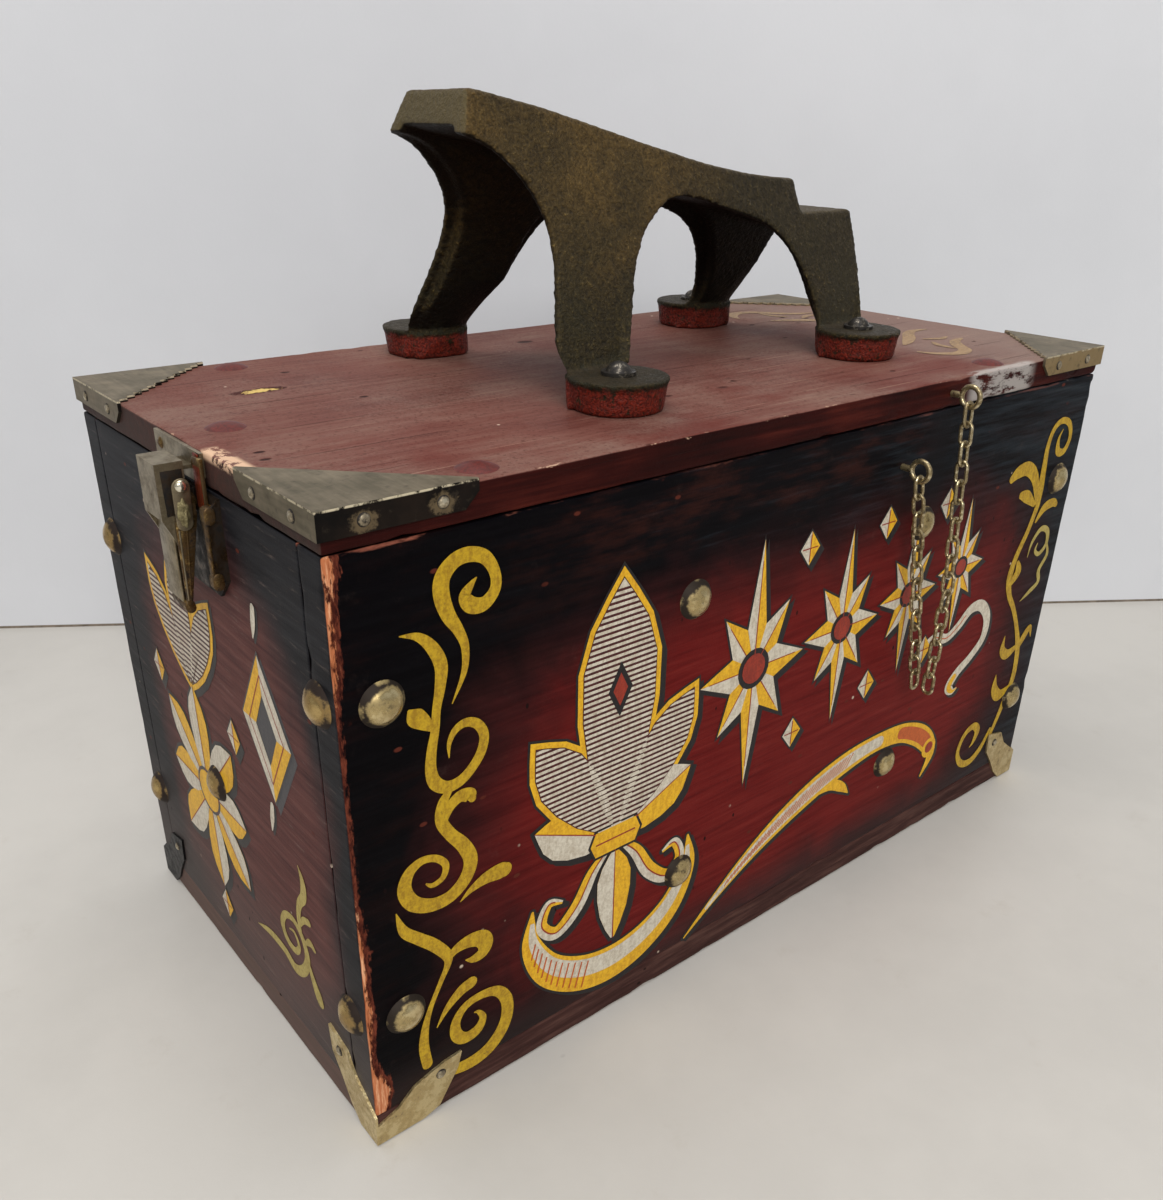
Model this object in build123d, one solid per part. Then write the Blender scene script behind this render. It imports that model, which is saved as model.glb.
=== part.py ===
from build123d import *
import math
import os

# Wooden shoe shine box: a nailed board box with a hinged lid, a cast footrest
# bolted on the lid, a draw latch, a stay chain, sheet-metal corners and dome tacks.
#
# Millimetres. +X runs along the box to the hinged end, the latch is on the -X end,
# the decorated front faces -Y, +Z is up. The origin is the centre of the underside.

# ---------------------------------------------------------------- driving sizes
# boards
box_length = 330.0
box_width = 164.0
seam_height = 181.3        # top edge of the walls
wall = 12.0
bottom_thickness = 10.5
lid_thickness = 9.5
lid_gap = 0.3              # slit between the walls and the closed lid
board_edge = 1.2           # worn round on the long outer edges of the boards
divider_thickness = 8.0
divider_drop = 21.3        # of the dividers' top edges, below the seam
divider_x = (-48.5, 63.0)
divider_gap = 0.1          # each side, between a divider and the walls

# fits
nail_fit = 0.05            # radial room round a nail, screw or tack pin in wood
bolt_fit = 0.20            # radial room round a footrest bolt
pin_fit = 0.05             # radial room round a hinge or latch pin

# dome tacks
tack_radius = 6.3
tack_dome = 3.4
tack_pin_radius = 0.9
tack_rows = (43.0, 141.5)
front_tack_inset = 12.0    # of the outer front and back tacks, in from the ends
tack_pin_cover = 1.0       # wood left behind the pins in the long walls
end_tack_inset = 9.0       # of an end tack, in from the front and back faces
tack_pin_spacing = 0.6     # between the pins that cross inside a corner
lone_tack = (8.0, 78.0)    # y and z of the tack in the middle of the latch end
lid_tack_places = ((-118.0, -73.0), (-118.0, 73.0), (102.0, -73.0), (102.0, 73.0), (-151.0, -1.0))
lid_tack_pin = 7.5
lid_tack_radius = 5.6
lid_tack_dome = 1.5

# hidden wire nails, driven flush
wire_radius = 1.1
wire_head_radius = 2.2
wire_head = 0.8
wall_nail_length = 32.0
wall_nail_heights = (24.0, 68.0, 112.0, 162.0)
bottom_nail_length = 32.0
bottom_nail_x = (-118.0, -40.0, 40.0, 118.0)
bottom_nail_y = 38.0

# small round-head nails of the metalwork
brad_radius = 0.7
brad_head_radius = 1.7
brad_head = 0.8
brad_length = 8.0

# lid corner brackets
bracket_sheet = 1.0
bracket_leg = 41.0
bracket_flange = 7.0
bracket_cut = 4.0          # slope on the free end of each flange
bracket_teeth = 13
bracket_tooth = 1.1
bracket_nail_steps = (10.5, 31.0)
plain_bracket = (-1, -1)   # the front corner at the latch end has a straight edge

# bottom corner guards: one leaf on each face, from the corner out
guard_sheet = 0.8
guard_leaf = ((0.0, 0.3), (9.0, 0.3), (14.0, 5.0), (18.5, 12.0), (23.5, 18.5), (24.5, 28.0),
              (14.0, 25.5), (10.0, 19.0), (0.0, 11.0))
guard_nail = (18.6, 22.0)
bent_leaf = ((0.0, 0.3), (15.0, 0.3), (20.5, 2.0), (24.0, 7.5), (27.5, 13.0), (29.0, 18.5),
             (23.5, 18.0), (18.5, 16.8), (12.5, 14.8), (7.0, 10.0), (0.0, 7.0))
bent_leaf_nail = (21.5, 14.2)      # the front leaf at the latch end is bent lower

# butt hinges on the +X end
hinge_bracket_gap = 2.0    # from a hinge to the lid corner bracket beside it
hinge_width = 26.0
hinge_sheet = 1.2
hinge_barrel = 2.6
hinge_pin_radius = 1.2
hinge_knuckle = 10.0       # length of the middle knuckle
hinge_end_gap = 0.3        # between knuckles, and from the barrel to the boards
hinge_box_drop = 18.0
hinge_lid_rise = 8.9
hinge_screw_spread = 8.5
hinge_screw_radius = 1.2
hinge_screw_head = 2.1
hinge_screw_cap = 1.3
hinge_screw_length = 12.0
hinge_box_screw_drop = 11.0
hinge_lid_screw_rise = 5.7

# footrest casting, heights are above the top of the lid
rest_y = 6.5               # the casting sits a little behind the middle of the lid
toe_pad_x = -50.0
heel_pad_x = 74.0
toe_pad_spread = 53.0
heel_pad_spread = 42.5
pad_height = 9.8
pad_foot_radius = 13.6
pad_rim_radius = 14.6
pad_lip_radius = 15.3
pad_lip = 1.2
toe_reach = 29.4           # from the toe pads' middle to the toe's lower edge
toe_height = 83.3
toe_face = 11.6
toe_rake = 4.4
step_height = 58.6
step_rake = 0.8
step_reach = 11.5          # from the step back to the heel pads' middle
heel_height = 47.6
heel_reach = 19.2
leg_width = 28.0
crown_height = 53.3        # underside of the handle at the toe end of the long arch
shoulder_height = 49.5     # and towards the heel
rest_half_top = 16.2       # half width of the toe at its top edge
rest_splay = 0.385         # widening of each side per millimetre down
rest_taper = 0.07          # narrowing of each side per millimetre towards the heel
rest_wall = 6.5            # of the legs, across the box
rest_skin = 2.5            # of the legs at their full width
leg_narrowing = 3.5        # each side of a leg, behind that skin
rest_plate = 9.0

# bolts of the footrest
bolt_radius = 2.5
bolt_head_radius = 3.9
bolt_head = 2.8
washer_radius = 5.2
washer = 1.0
nut_across = 8.0
nut_height = 4.0
seat_room = 8.0            # clear height cut into a leg over each washer
bolt_end = 1.5             # thread showing past the nut

# draw latch, u is measured out of the end face and w sideways from the latch's middle
latch_y = -9.0
latch_plate = 1.0
latch_half = 18.0
latch_drop = 1.0           # top of the base plate, below the seam
latch_height = 28.3
latch_corner = 6.0
latch_rim = 4.0
lever_pivot_u = 4.6
lever_pivot_drop = 4.5     # below the seam
hook_arm = 10.0            # lever pivot to hook pivot
hook_lean = 7.0            # degrees that the arm stands off the plate at rest
lug_half_inner = 2.2
lug = 1.2
lug_radius = 2.1
lever_side_gap = 0.4
lever_sheet = 1.0
lever_head = 3.4
lever_length = 30.0
hook_side_gap = 0.4
hook_sheet = 1.0
hook_depth = 7.4
hook_eye = 2.4
hook_ledge_gap = 0.8       # from the ledge up to the hook
hook_skirt = 14.8
latch_pin_radius = 0.9
latch_pin_cap = 0.7
strike_y = -4.0
strike_half = 16.0
strike_inset = 0.6         # from the lower and upper edges of the lid
ledge_half = 4.6
ledge_reach = 3.5
ledge_rise = 4.8           # above the underside of the lid
ledge = 1.0
strike_nail_spread = 11.8
strike_nail_rise = 5.8     # above the underside of the lid

# stay chain and its screw eyes
eye_ring = 3.4             # wire centre line
eye_wire = 0.9
eye_shank = 1.1
eye_stand = 2.9            # shank showing
eye_screw = 9.0
lid_eye_x = 68.0
lid_eye_rise = 4.8         # above the underside of the lid
box_eye_x = 45.7
box_eye_drop = 16.3        # below the seam
link_length = 9.2
link_width = 5.2
link_wire = 1.3
link_play = 0.08
lid_strand_links = 16
box_strand_links = 13
strand_gap = 0.2           # between the two strands, across the face
strand_bend = 0.60         # share of the lid strand where it has come clear of the other

# ------------------------------------------------------------ places worked out
half_length = box_length / 2
half_width = box_width / 2
lid_bottom = seam_height + lid_gap
lid_top = lid_bottom + lid_thickness
latch_top = seam_height - latch_drop
latch_bottom = latch_top - latch_height
lever_pivot_z = seam_height - lever_pivot_drop
strike_bottom = lid_bottom + strike_inset
strike_top = lid_top - strike_inset
ledge_top = lid_bottom + ledge_rise
strike_nail_z = lid_bottom + strike_nail_rise
hook_top = ledge_top + hook_ledge_gap + hook_sheet
lid_eye_z = lid_bottom + lid_eye_rise
box_eye_z = seam_height - box_eye_drop
inner_x = half_length - wall
front_tack_x = (front_tack_inset - half_length, *divider_x, half_length - front_tack_inset)
wall_tack_pin = wall - tack_pin_cover
end_tack_pin = front_tack_inset - tack_pin_radius - tack_pin_spacing
inner_y = half_width - wall
hinge_x = half_length + hinge_barrel + hinge_end_gap
hinge_z = seam_height + lid_gap / 2
hinge_spread = half_width - bracket_leg - hinge_bracket_gap - hinge_width / 2
over = 1.0                 # how far a cutter runs past a face

X_AXIS = Vector(1, 0, 0)
Y_AXIS = Vector(0, 1, 0)
Z_AXIS = Vector(0, 0, 1)


# ------------------------------------------------------------------- small tools
def block(low, high):
    """A box from its low corner to its high corner."""
    size = [b - a for a, b in zip(low, high)]
    return Pos(*low) * Box(*size, align=(Align.MIN, Align.MIN, Align.MIN))


def rod(start, direction, radius, length):
    """A cylinder that starts at a point and runs along a direction."""
    place = Plane(origin=Vector(*start), z_dir=direction)
    return place * Cylinder(radius, length, align=(Align.CENTER, Align.CENTER, Align.MIN))


def cap(radius, height):
    """A shallow dome on the XY plane."""
    ball = (radius ** 2 + height ** 2) / (2 * height)
    room = Box(3 * radius, 3 * radius, height, align=(Align.CENTER, Align.CENTER, Align.MIN))
    return (Pos(0, 0, height - ball) * Sphere(ball)) & room


def dome(start, direction, radius, height):
    """A dome whose flat side lies at a point and which rises along a direction."""
    return Plane(origin=Vector(*start), z_dir=direction) * cap(radius, height)


def plate(points, plane, thickness):
    """A flat plate from its outline on a plane, thickened along the plane's normal."""
    face = make_face(Polyline(*points, close=True))
    return extrude(plane * face, amount=thickness, dir=plane.z_dir)


def step_back(start, direction, distance):
    """The point that lies a distance behind start, against a direction."""
    return tuple(Vector(*start) - Vector(*direction) * distance)


def group(solids):
    """Several loose solids as one node."""
    flat = []
    for item in solids:
        flat.extend(item.solids())
    return Compound(children=flat)


def cut_holes(piece, places, radius, length):
    """Bores round holes into a piece; each place is a point and a direction inwards."""
    for start, direction in places:
        piece = piece - rod(step_back(start, direction, over), direction, radius, length + over)
    return piece


# -------------------------------------------------------------- fastener places
FRONT = (0, -1, 0)
BACK = (0, 1, 0)
LATCH_END = (-1, 0, 0)
HINGE_END = (1, 0, 0)
UP = (0, 0, 1)
DOWN = (0, 0, -1)


def inward(direction):
    return tuple(-value for value in direction)


front_tack_places = [((x, -half_width, z), inward(FRONT)) for x in front_tack_x for z in tack_rows]
back_tack_places = [((x, half_width, z), inward(BACK)) for x in front_tack_x for z in tack_rows]
end_tack_y = (-half_width + end_tack_inset, half_width - end_tack_inset)
latch_end_tack_places = [((-half_length, y, z), inward(LATCH_END)) for y in end_tack_y for z in tack_rows]
latch_end_tack_places.append(((-half_length, *lone_tack), inward(LATCH_END)))
hinge_end_tack_places = [((half_length, y, z), inward(HINGE_END)) for y in end_tack_y for z in tack_rows]
lid_tack_list = [((x, y, lid_top), DOWN) for x, y in lid_tack_places]

end_board_middle = half_length - wall / 2
wall_nail_places = []
for side, face in ((-1, FRONT), (1, BACK)):
    for x in (-end_board_middle, end_board_middle):
        for z in wall_nail_heights:
            wall_nail_places.append(((x, side * half_width, z), inward(face)))

bottom_nail_places = [((x, side * (half_width - wall / 2), 0), UP) for side in (-1, 1) for x in bottom_nail_x]
bottom_nail_places += [((x, side * bottom_nail_y, 0), UP) for side in (-1, 1)
                       for x in (-end_board_middle, *divider_x, end_board_middle)]

box_eye_place = ((box_eye_x, -half_width, box_eye_z), inward(FRONT))
lid_eye_place = ((lid_eye_x, -half_width, lid_eye_z), inward(FRONT))

latch_nail_places = [((-half_length - latch_plate, latch_y + w, z), inward(LATCH_END))
                     for w in (-latch_half + 4.5, latch_half - 4.5)
                     for z in (latch_bottom + 4, latch_top - 4)]
strike_nail_places = [((-half_length - latch_plate, strike_y + w, strike_nail_z), inward(LATCH_END))
                      for w in (-strike_nail_spread, strike_nail_spread)]

hinge_middles = (-hinge_spread, hinge_spread)
hinge_box_screws_places = [((half_length + hinge_sheet, y + w, hinge_z - hinge_box_screw_drop), inward(HINGE_END))
                           for y in hinge_middles for w in (-hinge_screw_spread, hinge_screw_spread)]
hinge_lid_screws_places = [((half_length + hinge_sheet, y + w, hinge_z + hinge_lid_screw_rise), inward(HINGE_END))
                           for y in hinge_middles for w in (-hinge_screw_spread, hinge_screw_spread)]

pad_places = [(toe_pad_x, rest_y - toe_pad_spread), (toe_pad_x, rest_y + toe_pad_spread),
              (heel_pad_x, rest_y - heel_pad_spread), (heel_pad_x, rest_y + heel_pad_spread)]

corner_signs = ((-1, -1), (1, -1), (-1, 1), (1, 1))
guard_nail_places = []
bracket_nail_places = []
flange_middle = lid_top + bracket_sheet - bracket_flange / 2 - 0.4
for sx, sy in corner_signs:
    spot = bent_leaf_nail if (sx, sy) == (-1, -1) else guard_nail
    along_x = ((sx * (half_length - spot[0]), sy * (half_width + guard_sheet), spot[1]), (0, -sy, 0))
    along_y = ((sx * (half_length + guard_sheet), sy * (half_width - guard_nail[0]), guard_nail[1]), (-sx, 0, 0))
    guard_nail_places += [along_x, along_y]
    for reach in bracket_nail_steps:
        bracket_nail_places.append(((sx * (half_length - reach), sy * (half_width + bracket_sheet), flange_middle),
                                    (0, -sy, 0)))
        bracket_nail_places.append(((sx * (half_length + bracket_sheet), sy * (half_width - reach), flange_middle),
                                    (-sx, 0, 0)))


# ------------------------------------------------------------------ the fasteners
def dome_tacks(places, radius, height, pin_length):
    tacks = []
    for start, direction in places:
        head = dome(start, inward(direction), radius, height)
        tacks.append(head + rod(start, direction, tack_pin_radius, pin_length))
    return group(tacks)


def brads(places):
    nails = []
    for start, direction in places:
        head = dome(start, inward(direction), brad_head_radius, brad_head)
        nails.append(head + rod(start, direction, brad_radius, brad_length))
    return group(nails)


def wire_nails(places, length):
    """Flat-head nails whose heads lie just under the surface."""
    nails = []
    for start, direction in places:
        sunk = step_back(start, direction, -nail_fit)
        head = rod(sunk, direction, wire_head_radius, wire_head)
        nails.append(head + rod(sunk, direction, wire_radius, length))
    return group(nails)


def round_screws(places):
    screws = []
    for start, direction in places:
        head = dome(start, inward(direction), hinge_screw_head, hinge_screw_cap)
        screws.append(head + rod(start, direction, hinge_screw_radius, hinge_screw_length))
    return group(screws)


def bore_wire_nails(piece, places, length):
    piece = cut_holes(piece, places, wire_radius + nail_fit, length + 2 * nail_fit)
    return cut_holes(piece, places, wire_head_radius + nail_fit, wire_head + 2 * nail_fit)


def bore_tacks(piece, places, pin_length):
    return cut_holes(piece, places, tack_pin_radius + nail_fit, pin_length + nail_fit)


def bore_brads(piece, places):
    return cut_holes(piece, places, brad_radius + nail_fit, brad_length + nail_fit)


def bore_hinge_screws(piece, places):
    return cut_holes(piece, places, hinge_screw_radius + nail_fit, hinge_screw_length + nail_fit)


# ------------------------------------------------------------------- the boards
def bottom_board():
    board = block((-half_length, -half_width, 0), (half_length, half_width, bottom_thickness))
    board = fillet(board.edges().filter_by(Axis.Z), board_edge)
    board = fillet(board.faces().sort_by(Axis.Z)[0].edges(), board_edge)
    board = bore_wire_nails(board, bottom_nail_places, bottom_nail_length)
    return bore_brads(board, [place for place in guard_nail_places if place[0][2] < bottom_thickness])


def long_wall(side):
    """The front or the back board, which covers the ends of the end boards."""
    low = (-half_length, min(side * half_width, side * inner_y), bottom_thickness)
    high = (half_length, max(side * half_width, side * inner_y), seam_height)
    board = block(low, high)
    outer = [edge for edge in board.edges().filter_by(Axis.Z) if abs(edge.center().Y) > half_width - over]
    board = fillet(outer, board_edge)
    board = bore_tacks(board, front_tack_places if side < 0 else back_tack_places, wall_tack_pin)
    board = bore_tacks(board, latch_end_tack_places + hinge_end_tack_places, end_tack_pin)
    board = bore_wire_nails(board, wall_nail_places, wall_nail_length)
    board = bore_wire_nails(board, bottom_nail_places, bottom_nail_length)
    board = bore_brads(board, guard_nail_places)
    if side < 0:
        board = cut_holes(board, [box_eye_place], eye_shank + nail_fit, eye_screw + nail_fit)
    return board


def end_wall(side):
    low = (min(side * half_length, side * inner_x), -inner_y, bottom_thickness)
    high = (max(side * half_length, side * inner_x), inner_y, seam_height)
    board = block(low, high)
    board = bore_tacks(board, front_tack_places + back_tack_places, wall_tack_pin)
    board = bore_tacks(board, latch_end_tack_places if side < 0 else hinge_end_tack_places, end_tack_pin)
    board = bore_wire_nails(board, wall_nail_places, wall_nail_length)
    board = bore_wire_nails(board, bottom_nail_places, bottom_nail_length)
    board = bore_brads(board, guard_nail_places)
    if side < 0:
        return bore_brads(board, latch_nail_places)
    return bore_hinge_screws(board, hinge_box_screws_places)


def divider(x):
    half = divider_thickness / 2
    reach = inner_y - divider_gap
    board = block((x - half, -reach, bottom_thickness), (x + half, reach, seam_height - divider_drop))
    board = bore_tacks(board, front_tack_places + back_tack_places, wall_tack_pin)
    return bore_wire_nails(board, bottom_nail_places, bottom_nail_length)


def lid_board():
    board = block((-half_length, -half_width, lid_bottom), (half_length, half_width, lid_top))
    board = fillet(board.edges().filter_by(Axis.Z), board_edge)
    board = fillet(board.faces().sort_by(Axis.Z)[-1].edges(), board_edge / 2)
    board = bore_tacks(board, lid_tack_list, lid_tack_pin)
    board = bore_brads(board, bracket_nail_places + strike_nail_places)
    board = bore_hinge_screws(board, hinge_lid_screws_places)
    board = cut_holes(board, [lid_eye_place], eye_shank + nail_fit, eye_screw + nail_fit)
    bolts = [((x, y, lid_top), DOWN) for x, y in pad_places]
    return cut_holes(board, bolts, bolt_radius + bolt_fit, lid_thickness + over)


# -------------------------------------------------------------- sheet-metal corners
def corner_bracket(sx, sy):
    """A folded triangle over a lid corner, pinked along its inner edge, with two nailed flanges."""
    corner = -bracket_sheet
    inner = []
    teeth = 0 if (sx, sy) == plain_bracket else bracket_teeth
    for tooth in range(1, 2 * teeth):
        share = tooth / (2 * teeth)
        depth = bracket_tooth if tooth % 2 else 0.0
        inner.append((bracket_leg * (1 - share) - depth, bracket_leg * share - depth))
    outline = [(corner, corner), (bracket_leg, corner), (bracket_leg, 0), *inner, (0, bracket_leg), (corner, bracket_leg)]
    top = plate(outline, Plane((0, 0, lid_top)), bracket_sheet)
    low = lid_top + bracket_sheet - bracket_flange
    flange_outline = [(corner, low), (bracket_leg - bracket_cut, low), (bracket_leg, low + bracket_cut),
                      (bracket_leg, lid_top + bracket_sheet), (corner, lid_top + bracket_sheet)]
    along_x = plate(flange_outline, Plane(origin=(0, 0, 0), x_dir=(1, 0, 0), z_dir=(0, -1, 0)), bracket_sheet)
    along_y = plate(flange_outline, Plane(origin=(corner, 0, 0), x_dir=(0, 1, 0), z_dir=(1, 0, 0)), bracket_sheet)
    bracket = top + along_x + along_y
    bracket = Pos(-half_length, -half_width, 0) * bracket
    bracket = turn_to_corner(bracket, sx, sy)
    return cut_holes(bracket, bracket_nail_places, brad_radius + nail_fit, brad_length)


def corner_guard(sx, sy):
    """Two pointed leaves folded round a bottom corner."""
    corner = -guard_sheet
    leaf_x = bent_leaf if (sx, sy) == (-1, -1) else guard_leaf
    outline_x = [(corner, leaf_x[0][1]), *leaf_x[1:-1], (corner, leaf_x[-1][1])]
    outline_y = [(corner, guard_leaf[0][1]), *guard_leaf[1:-1], (corner, guard_leaf[-1][1])]
    along_x = plate(outline_x, Plane(origin=(0, 0, 0), x_dir=(1, 0, 0), z_dir=(0, -1, 0)), guard_sheet)
    along_y = plate(outline_y, Plane(origin=(corner, 0, 0), x_dir=(0, 1, 0), z_dir=(1, 0, 0)), guard_sheet)
    guard = Pos(-half_length, -half_width, 0) * (along_x + along_y)
    guard = turn_to_corner(guard, sx, sy)
    return cut_holes(guard, guard_nail_places, brad_radius + nail_fit, brad_length)


def turn_to_corner(piece, sx, sy):
    """Mirrors a piece made for the front corner at the latch end to another corner."""
    if sx > 0:
        piece = mirror(piece, about=Plane.YZ)
    if sy > 0:
        piece = mirror(piece, about=Plane.XZ)
    return piece


# ------------------------------------------------------------------------ hinges
def knuckle(y0, y1):
    tube = rod((hinge_x, y0, hinge_z), Y_AXIS, hinge_barrel, y1 - y0)
    return tube - rod((hinge_x, y0 - over, hinge_z), Y_AXIS, hinge_pin_radius + pin_fit, y1 - y0 + 2 * over)


def hinge_box_leaf(middle):
    """The leaf on the end board, with the two outer knuckles."""
    half = hinge_width / 2
    middle_half = hinge_knuckle / 2 + hinge_end_gap
    leaf = block((half_length, middle - half, hinge_z - hinge_box_drop),
                 (half_length + hinge_sheet, middle + half, hinge_z))
    notch = block((half_length - over, middle - middle_half, hinge_z - hinge_barrel - hinge_end_gap),
                  (half_length + hinge_sheet + over, middle + middle_half, hinge_z + over))
    leaf = leaf - notch
    leaf = leaf + knuckle(middle - half, middle - middle_half) + knuckle(middle + middle_half, middle + half)
    leaf = leaf - rod((hinge_x, middle - half - over, hinge_z), Y_AXIS, hinge_pin_radius + pin_fit,
                      hinge_width + 2 * over)
    return cut_holes(leaf, hinge_box_screws_places, hinge_screw_radius + nail_fit, hinge_screw_length)


def hinge_lid_leaf(middle):
    """The leaf on the lid's edge, with the middle knuckle."""
    half = hinge_width / 2
    middle_half = hinge_knuckle / 2
    leaf = block((half_length, middle - half, hinge_z + hinge_barrel + hinge_end_gap),
                 (half_length + hinge_sheet, middle + half, hinge_z + hinge_lid_rise))
    tongue = block((half_length, middle - middle_half, hinge_z + lid_gap / 2),
                   (half_length + hinge_sheet, middle + middle_half, hinge_z + hinge_lid_rise))
    leaf = leaf + tongue + knuckle(middle - middle_half, middle + middle_half)
    leaf = leaf - rod((hinge_x, middle - half - over, hinge_z), Y_AXIS, hinge_pin_radius + pin_fit,
                      hinge_width + 2 * over)
    return cut_holes(leaf, hinge_lid_screws_places, hinge_screw_radius + nail_fit, hinge_screw_length)


def hinge_pins():
    return group([rod((hinge_x, middle - hinge_width / 2, hinge_z), Y_AXIS, hinge_pin_radius, hinge_width)
                  for middle in hinge_middles])


# ---------------------------------------------------------------------- footrest
def rest_half_width(x, height):
    """Half the casting's width at a place along the box and a height above the lid."""
    toe_x = toe_pad_x - toe_reach + toe_rake
    return rest_half_top + rest_splay * (toe_height - height) - rest_taper * (x - toe_x)


def rest_wedge(inset, toe_top, heel_top):
    """A long wedge with the casting's splay and taper, its sides moved in by inset."""
    sections = []
    for x, top in ((toe_pad_x - toe_reach - over, toe_top), (heel_pad_x + heel_reach + over, heel_top)):
        wide = rest_half_width(x, -over) - inset
        narrow = rest_half_width(x, top) - inset
        points = [(x, -wide, -over), (x, wide, -over), (x, narrow, top), (x, -narrow, top)]
        sections.append(make_face(Polyline(*points, close=True)))
    return loft(sections, ruled=True)


def rest_outline(trim):
    """The casting from the side, its legs narrowed by trim and its arches raised by it."""
    toe_low = (toe_pad_x - toe_reach, toe_height - toe_face)
    toe_top = (toe_low[0] + toe_rake, toe_height)
    step_top = (heel_pad_x - step_reach, step_height)
    step_foot = (step_top[0] + step_rake, heel_height)
    heel_top = (heel_pad_x + heel_reach, heel_height)
    half = leg_width / 2 - trim
    toe_front, toe_back = toe_pad_x - half, toe_pad_x + half
    heel_front, heel_back = heel_pad_x - half, heel_pad_x + half
    span = step_top[0] - toe_top[0]
    drop = toe_height - step_height
    top = Spline(toe_top,
                 (toe_top[0] + 0.33 * span, toe_height - 0.36 * drop),
                 (toe_top[0] + 0.70 * span, toe_height - 0.82 * drop),
                 step_top)
    heel_line = Spline(heel_top, (heel_back + 0.22 * heel_reach, 0.62 * heel_height), (heel_back, 0),
                       tangents=[(0, -1), (-0.10, -1)])
    long_arch = Spline((heel_front, 0),
                       (heel_front - 0.03 * leg_width, 0.55 * shoulder_height),
                       (heel_front - 0.50 * leg_width, 0.86 * shoulder_height + trim),
                       (heel_front - 1.25 * leg_width, shoulder_height + trim),
                       (toe_back + 1.18 * leg_width, crown_height + trim),
                       (toe_back + 0.64 * leg_width, 0.82 * crown_height + trim),
                       (toe_back + 0.32 * leg_width, 0.55 * crown_height),
                       (toe_back, 0))
    toe_arch = Spline((toe_front, 0),
                      (toe_front + 0.19 * leg_width, 0.37 * toe_height),
                      (toe_front + 0.27 * leg_width, 0.58 * toe_height),
                      (toe_front - 0.08 * leg_width, 0.775 * toe_height),
                      toe_low)
    edges = [top, Line(step_top, step_foot), Line(step_foot, heel_top), heel_line,
             Line((heel_back, 0), (heel_front, 0)), long_arch,
             Line((toe_back, 0), (toe_front, 0)), toe_arch, Line(toe_low, toe_top)]
    return make_face(edges)


def footrest():
    """One sand casting: a sloping toe plate, a lower heel plate and four splayed legs on round pads."""
    side_view = Plane(origin=(0, 0, 0), x_dir=(1, 0, 0), z_dir=(0, -1, 0))
    solid_wedge = rest_wedge(0, toe_height + over, toe_height + over)
    hollow = rest_wedge(rest_wall, toe_height - rest_plate, heel_height - rest_plate)
    skin = extrude(side_view * rest_outline(0), amount=box_width, both=True) & solid_wedge
    skin = skin - rest_wedge(rest_skin, toe_height - rest_plate, heel_height - rest_plate)
    core = extrude(side_view * rest_outline(leg_narrowing), amount=box_width, both=True) & solid_wedge
    body = skin + core - hollow
    for x, y in pad_places:
        place = Pos(x, y - rest_y, 0)
        foot = Cone(pad_foot_radius, pad_rim_radius, pad_height - pad_lip,
                    align=(Align.CENTER, Align.CENTER, Align.MIN))
        lip = Cylinder(pad_lip_radius, pad_lip, align=(Align.CENTER, Align.CENTER, Align.MIN))
        body = body + place * (foot + Pos(0, 0, pad_height - pad_lip) * lip)
    for x, y in pad_places:
        outside = math.copysign(1, y - rest_y)
        fringe = block((x - 2 * leg_width, 0, -over), (x + 2 * leg_width, box_width, pad_height))
        fringe = fringe if outside > 0 else mirror(fringe, about=Plane.XZ)
        pad = Pos(x, y - rest_y, 0) * Cylinder(pad_lip_radius, box_width)
        body = body - (fringe - pad)
        body = body - rod((x, y - rest_y, -over), Z_AXIS, bolt_radius + bolt_fit, pad_height + 2 * over)
        seat = rod((x, y - rest_y, pad_height), Z_AXIS, washer_radius + bolt_fit, seat_room)
        body = body - seat
    return Pos(0, rest_y, lid_top) * body


def footrest_bolts():
    bolts = []
    seat = lid_top + pad_height + washer
    reach = seat - lid_bottom + washer + nut_height + bolt_end
    for x, y in pad_places:
        bolts.append(dome((x, y, seat), UP, bolt_head_radius, bolt_head) + rod((x, y, seat), DOWN, bolt_radius, reach))
    return group(bolts)


def ring(x, y, z, outer, inner, height):
    return rod((x, y, z), UP, outer, height) - rod((x, y, z - over), UP, inner, height + 2 * over)


def footrest_washers(z):
    return group([ring(x, y, z, washer_radius, bolt_radius + bolt_fit / 2, washer) for x, y in pad_places])


def footrest_nuts():
    nuts = []
    for x, y in pad_places:
        body = extrude(RegularPolygon(nut_across / 2, 6, major_radius=False), amount=nut_height)
        low = lid_bottom - washer - nut_height
        nuts.append(Pos(x, y, low) * body - rod((x, y, low - over), UP, bolt_radius + nail_fit, nut_height + 2 * over))
    return group(nuts)


# ------------------------------------------------------------------------- latch
pivot = (lever_pivot_u, lever_pivot_z)
hook_pivot = (lever_pivot_u + hook_arm * math.sin(math.radians(hook_lean)),
              lever_pivot_z - hook_arm * math.cos(math.radians(hook_lean)))
lever_half_inner = lug_half_inner + lug + lever_side_gap
lever_half = lever_half_inner + lever_sheet
hook_half_inner = lever_half + hook_side_gap
hook_half = hook_half_inner + hook_sheet
lever_skin = lever_pivot_u + lever_head
hook_inner_u = ledge_reach + 0.3


def latch_solid(points, w0, w1):
    """A profile in the latch's u-z plane, given its thickness from w0 to w1."""
    face = make_face(Polyline(*[(u, z) for u, z in points], close=True))
    plane = Plane(origin=(-half_length, latch_y + w0, 0), x_dir=(-1, 0, 0), z_dir=(0, 1, 0))
    placed = plane * face
    return extrude(placed, amount=w1 - w0, dir=(0, 1, 0))


def latch_rod(centre, radius, w0, w1):
    start = (-half_length - centre[0], latch_y + w0, centre[1])
    return rod(start, Y_AXIS, radius, w1 - w0)


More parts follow.
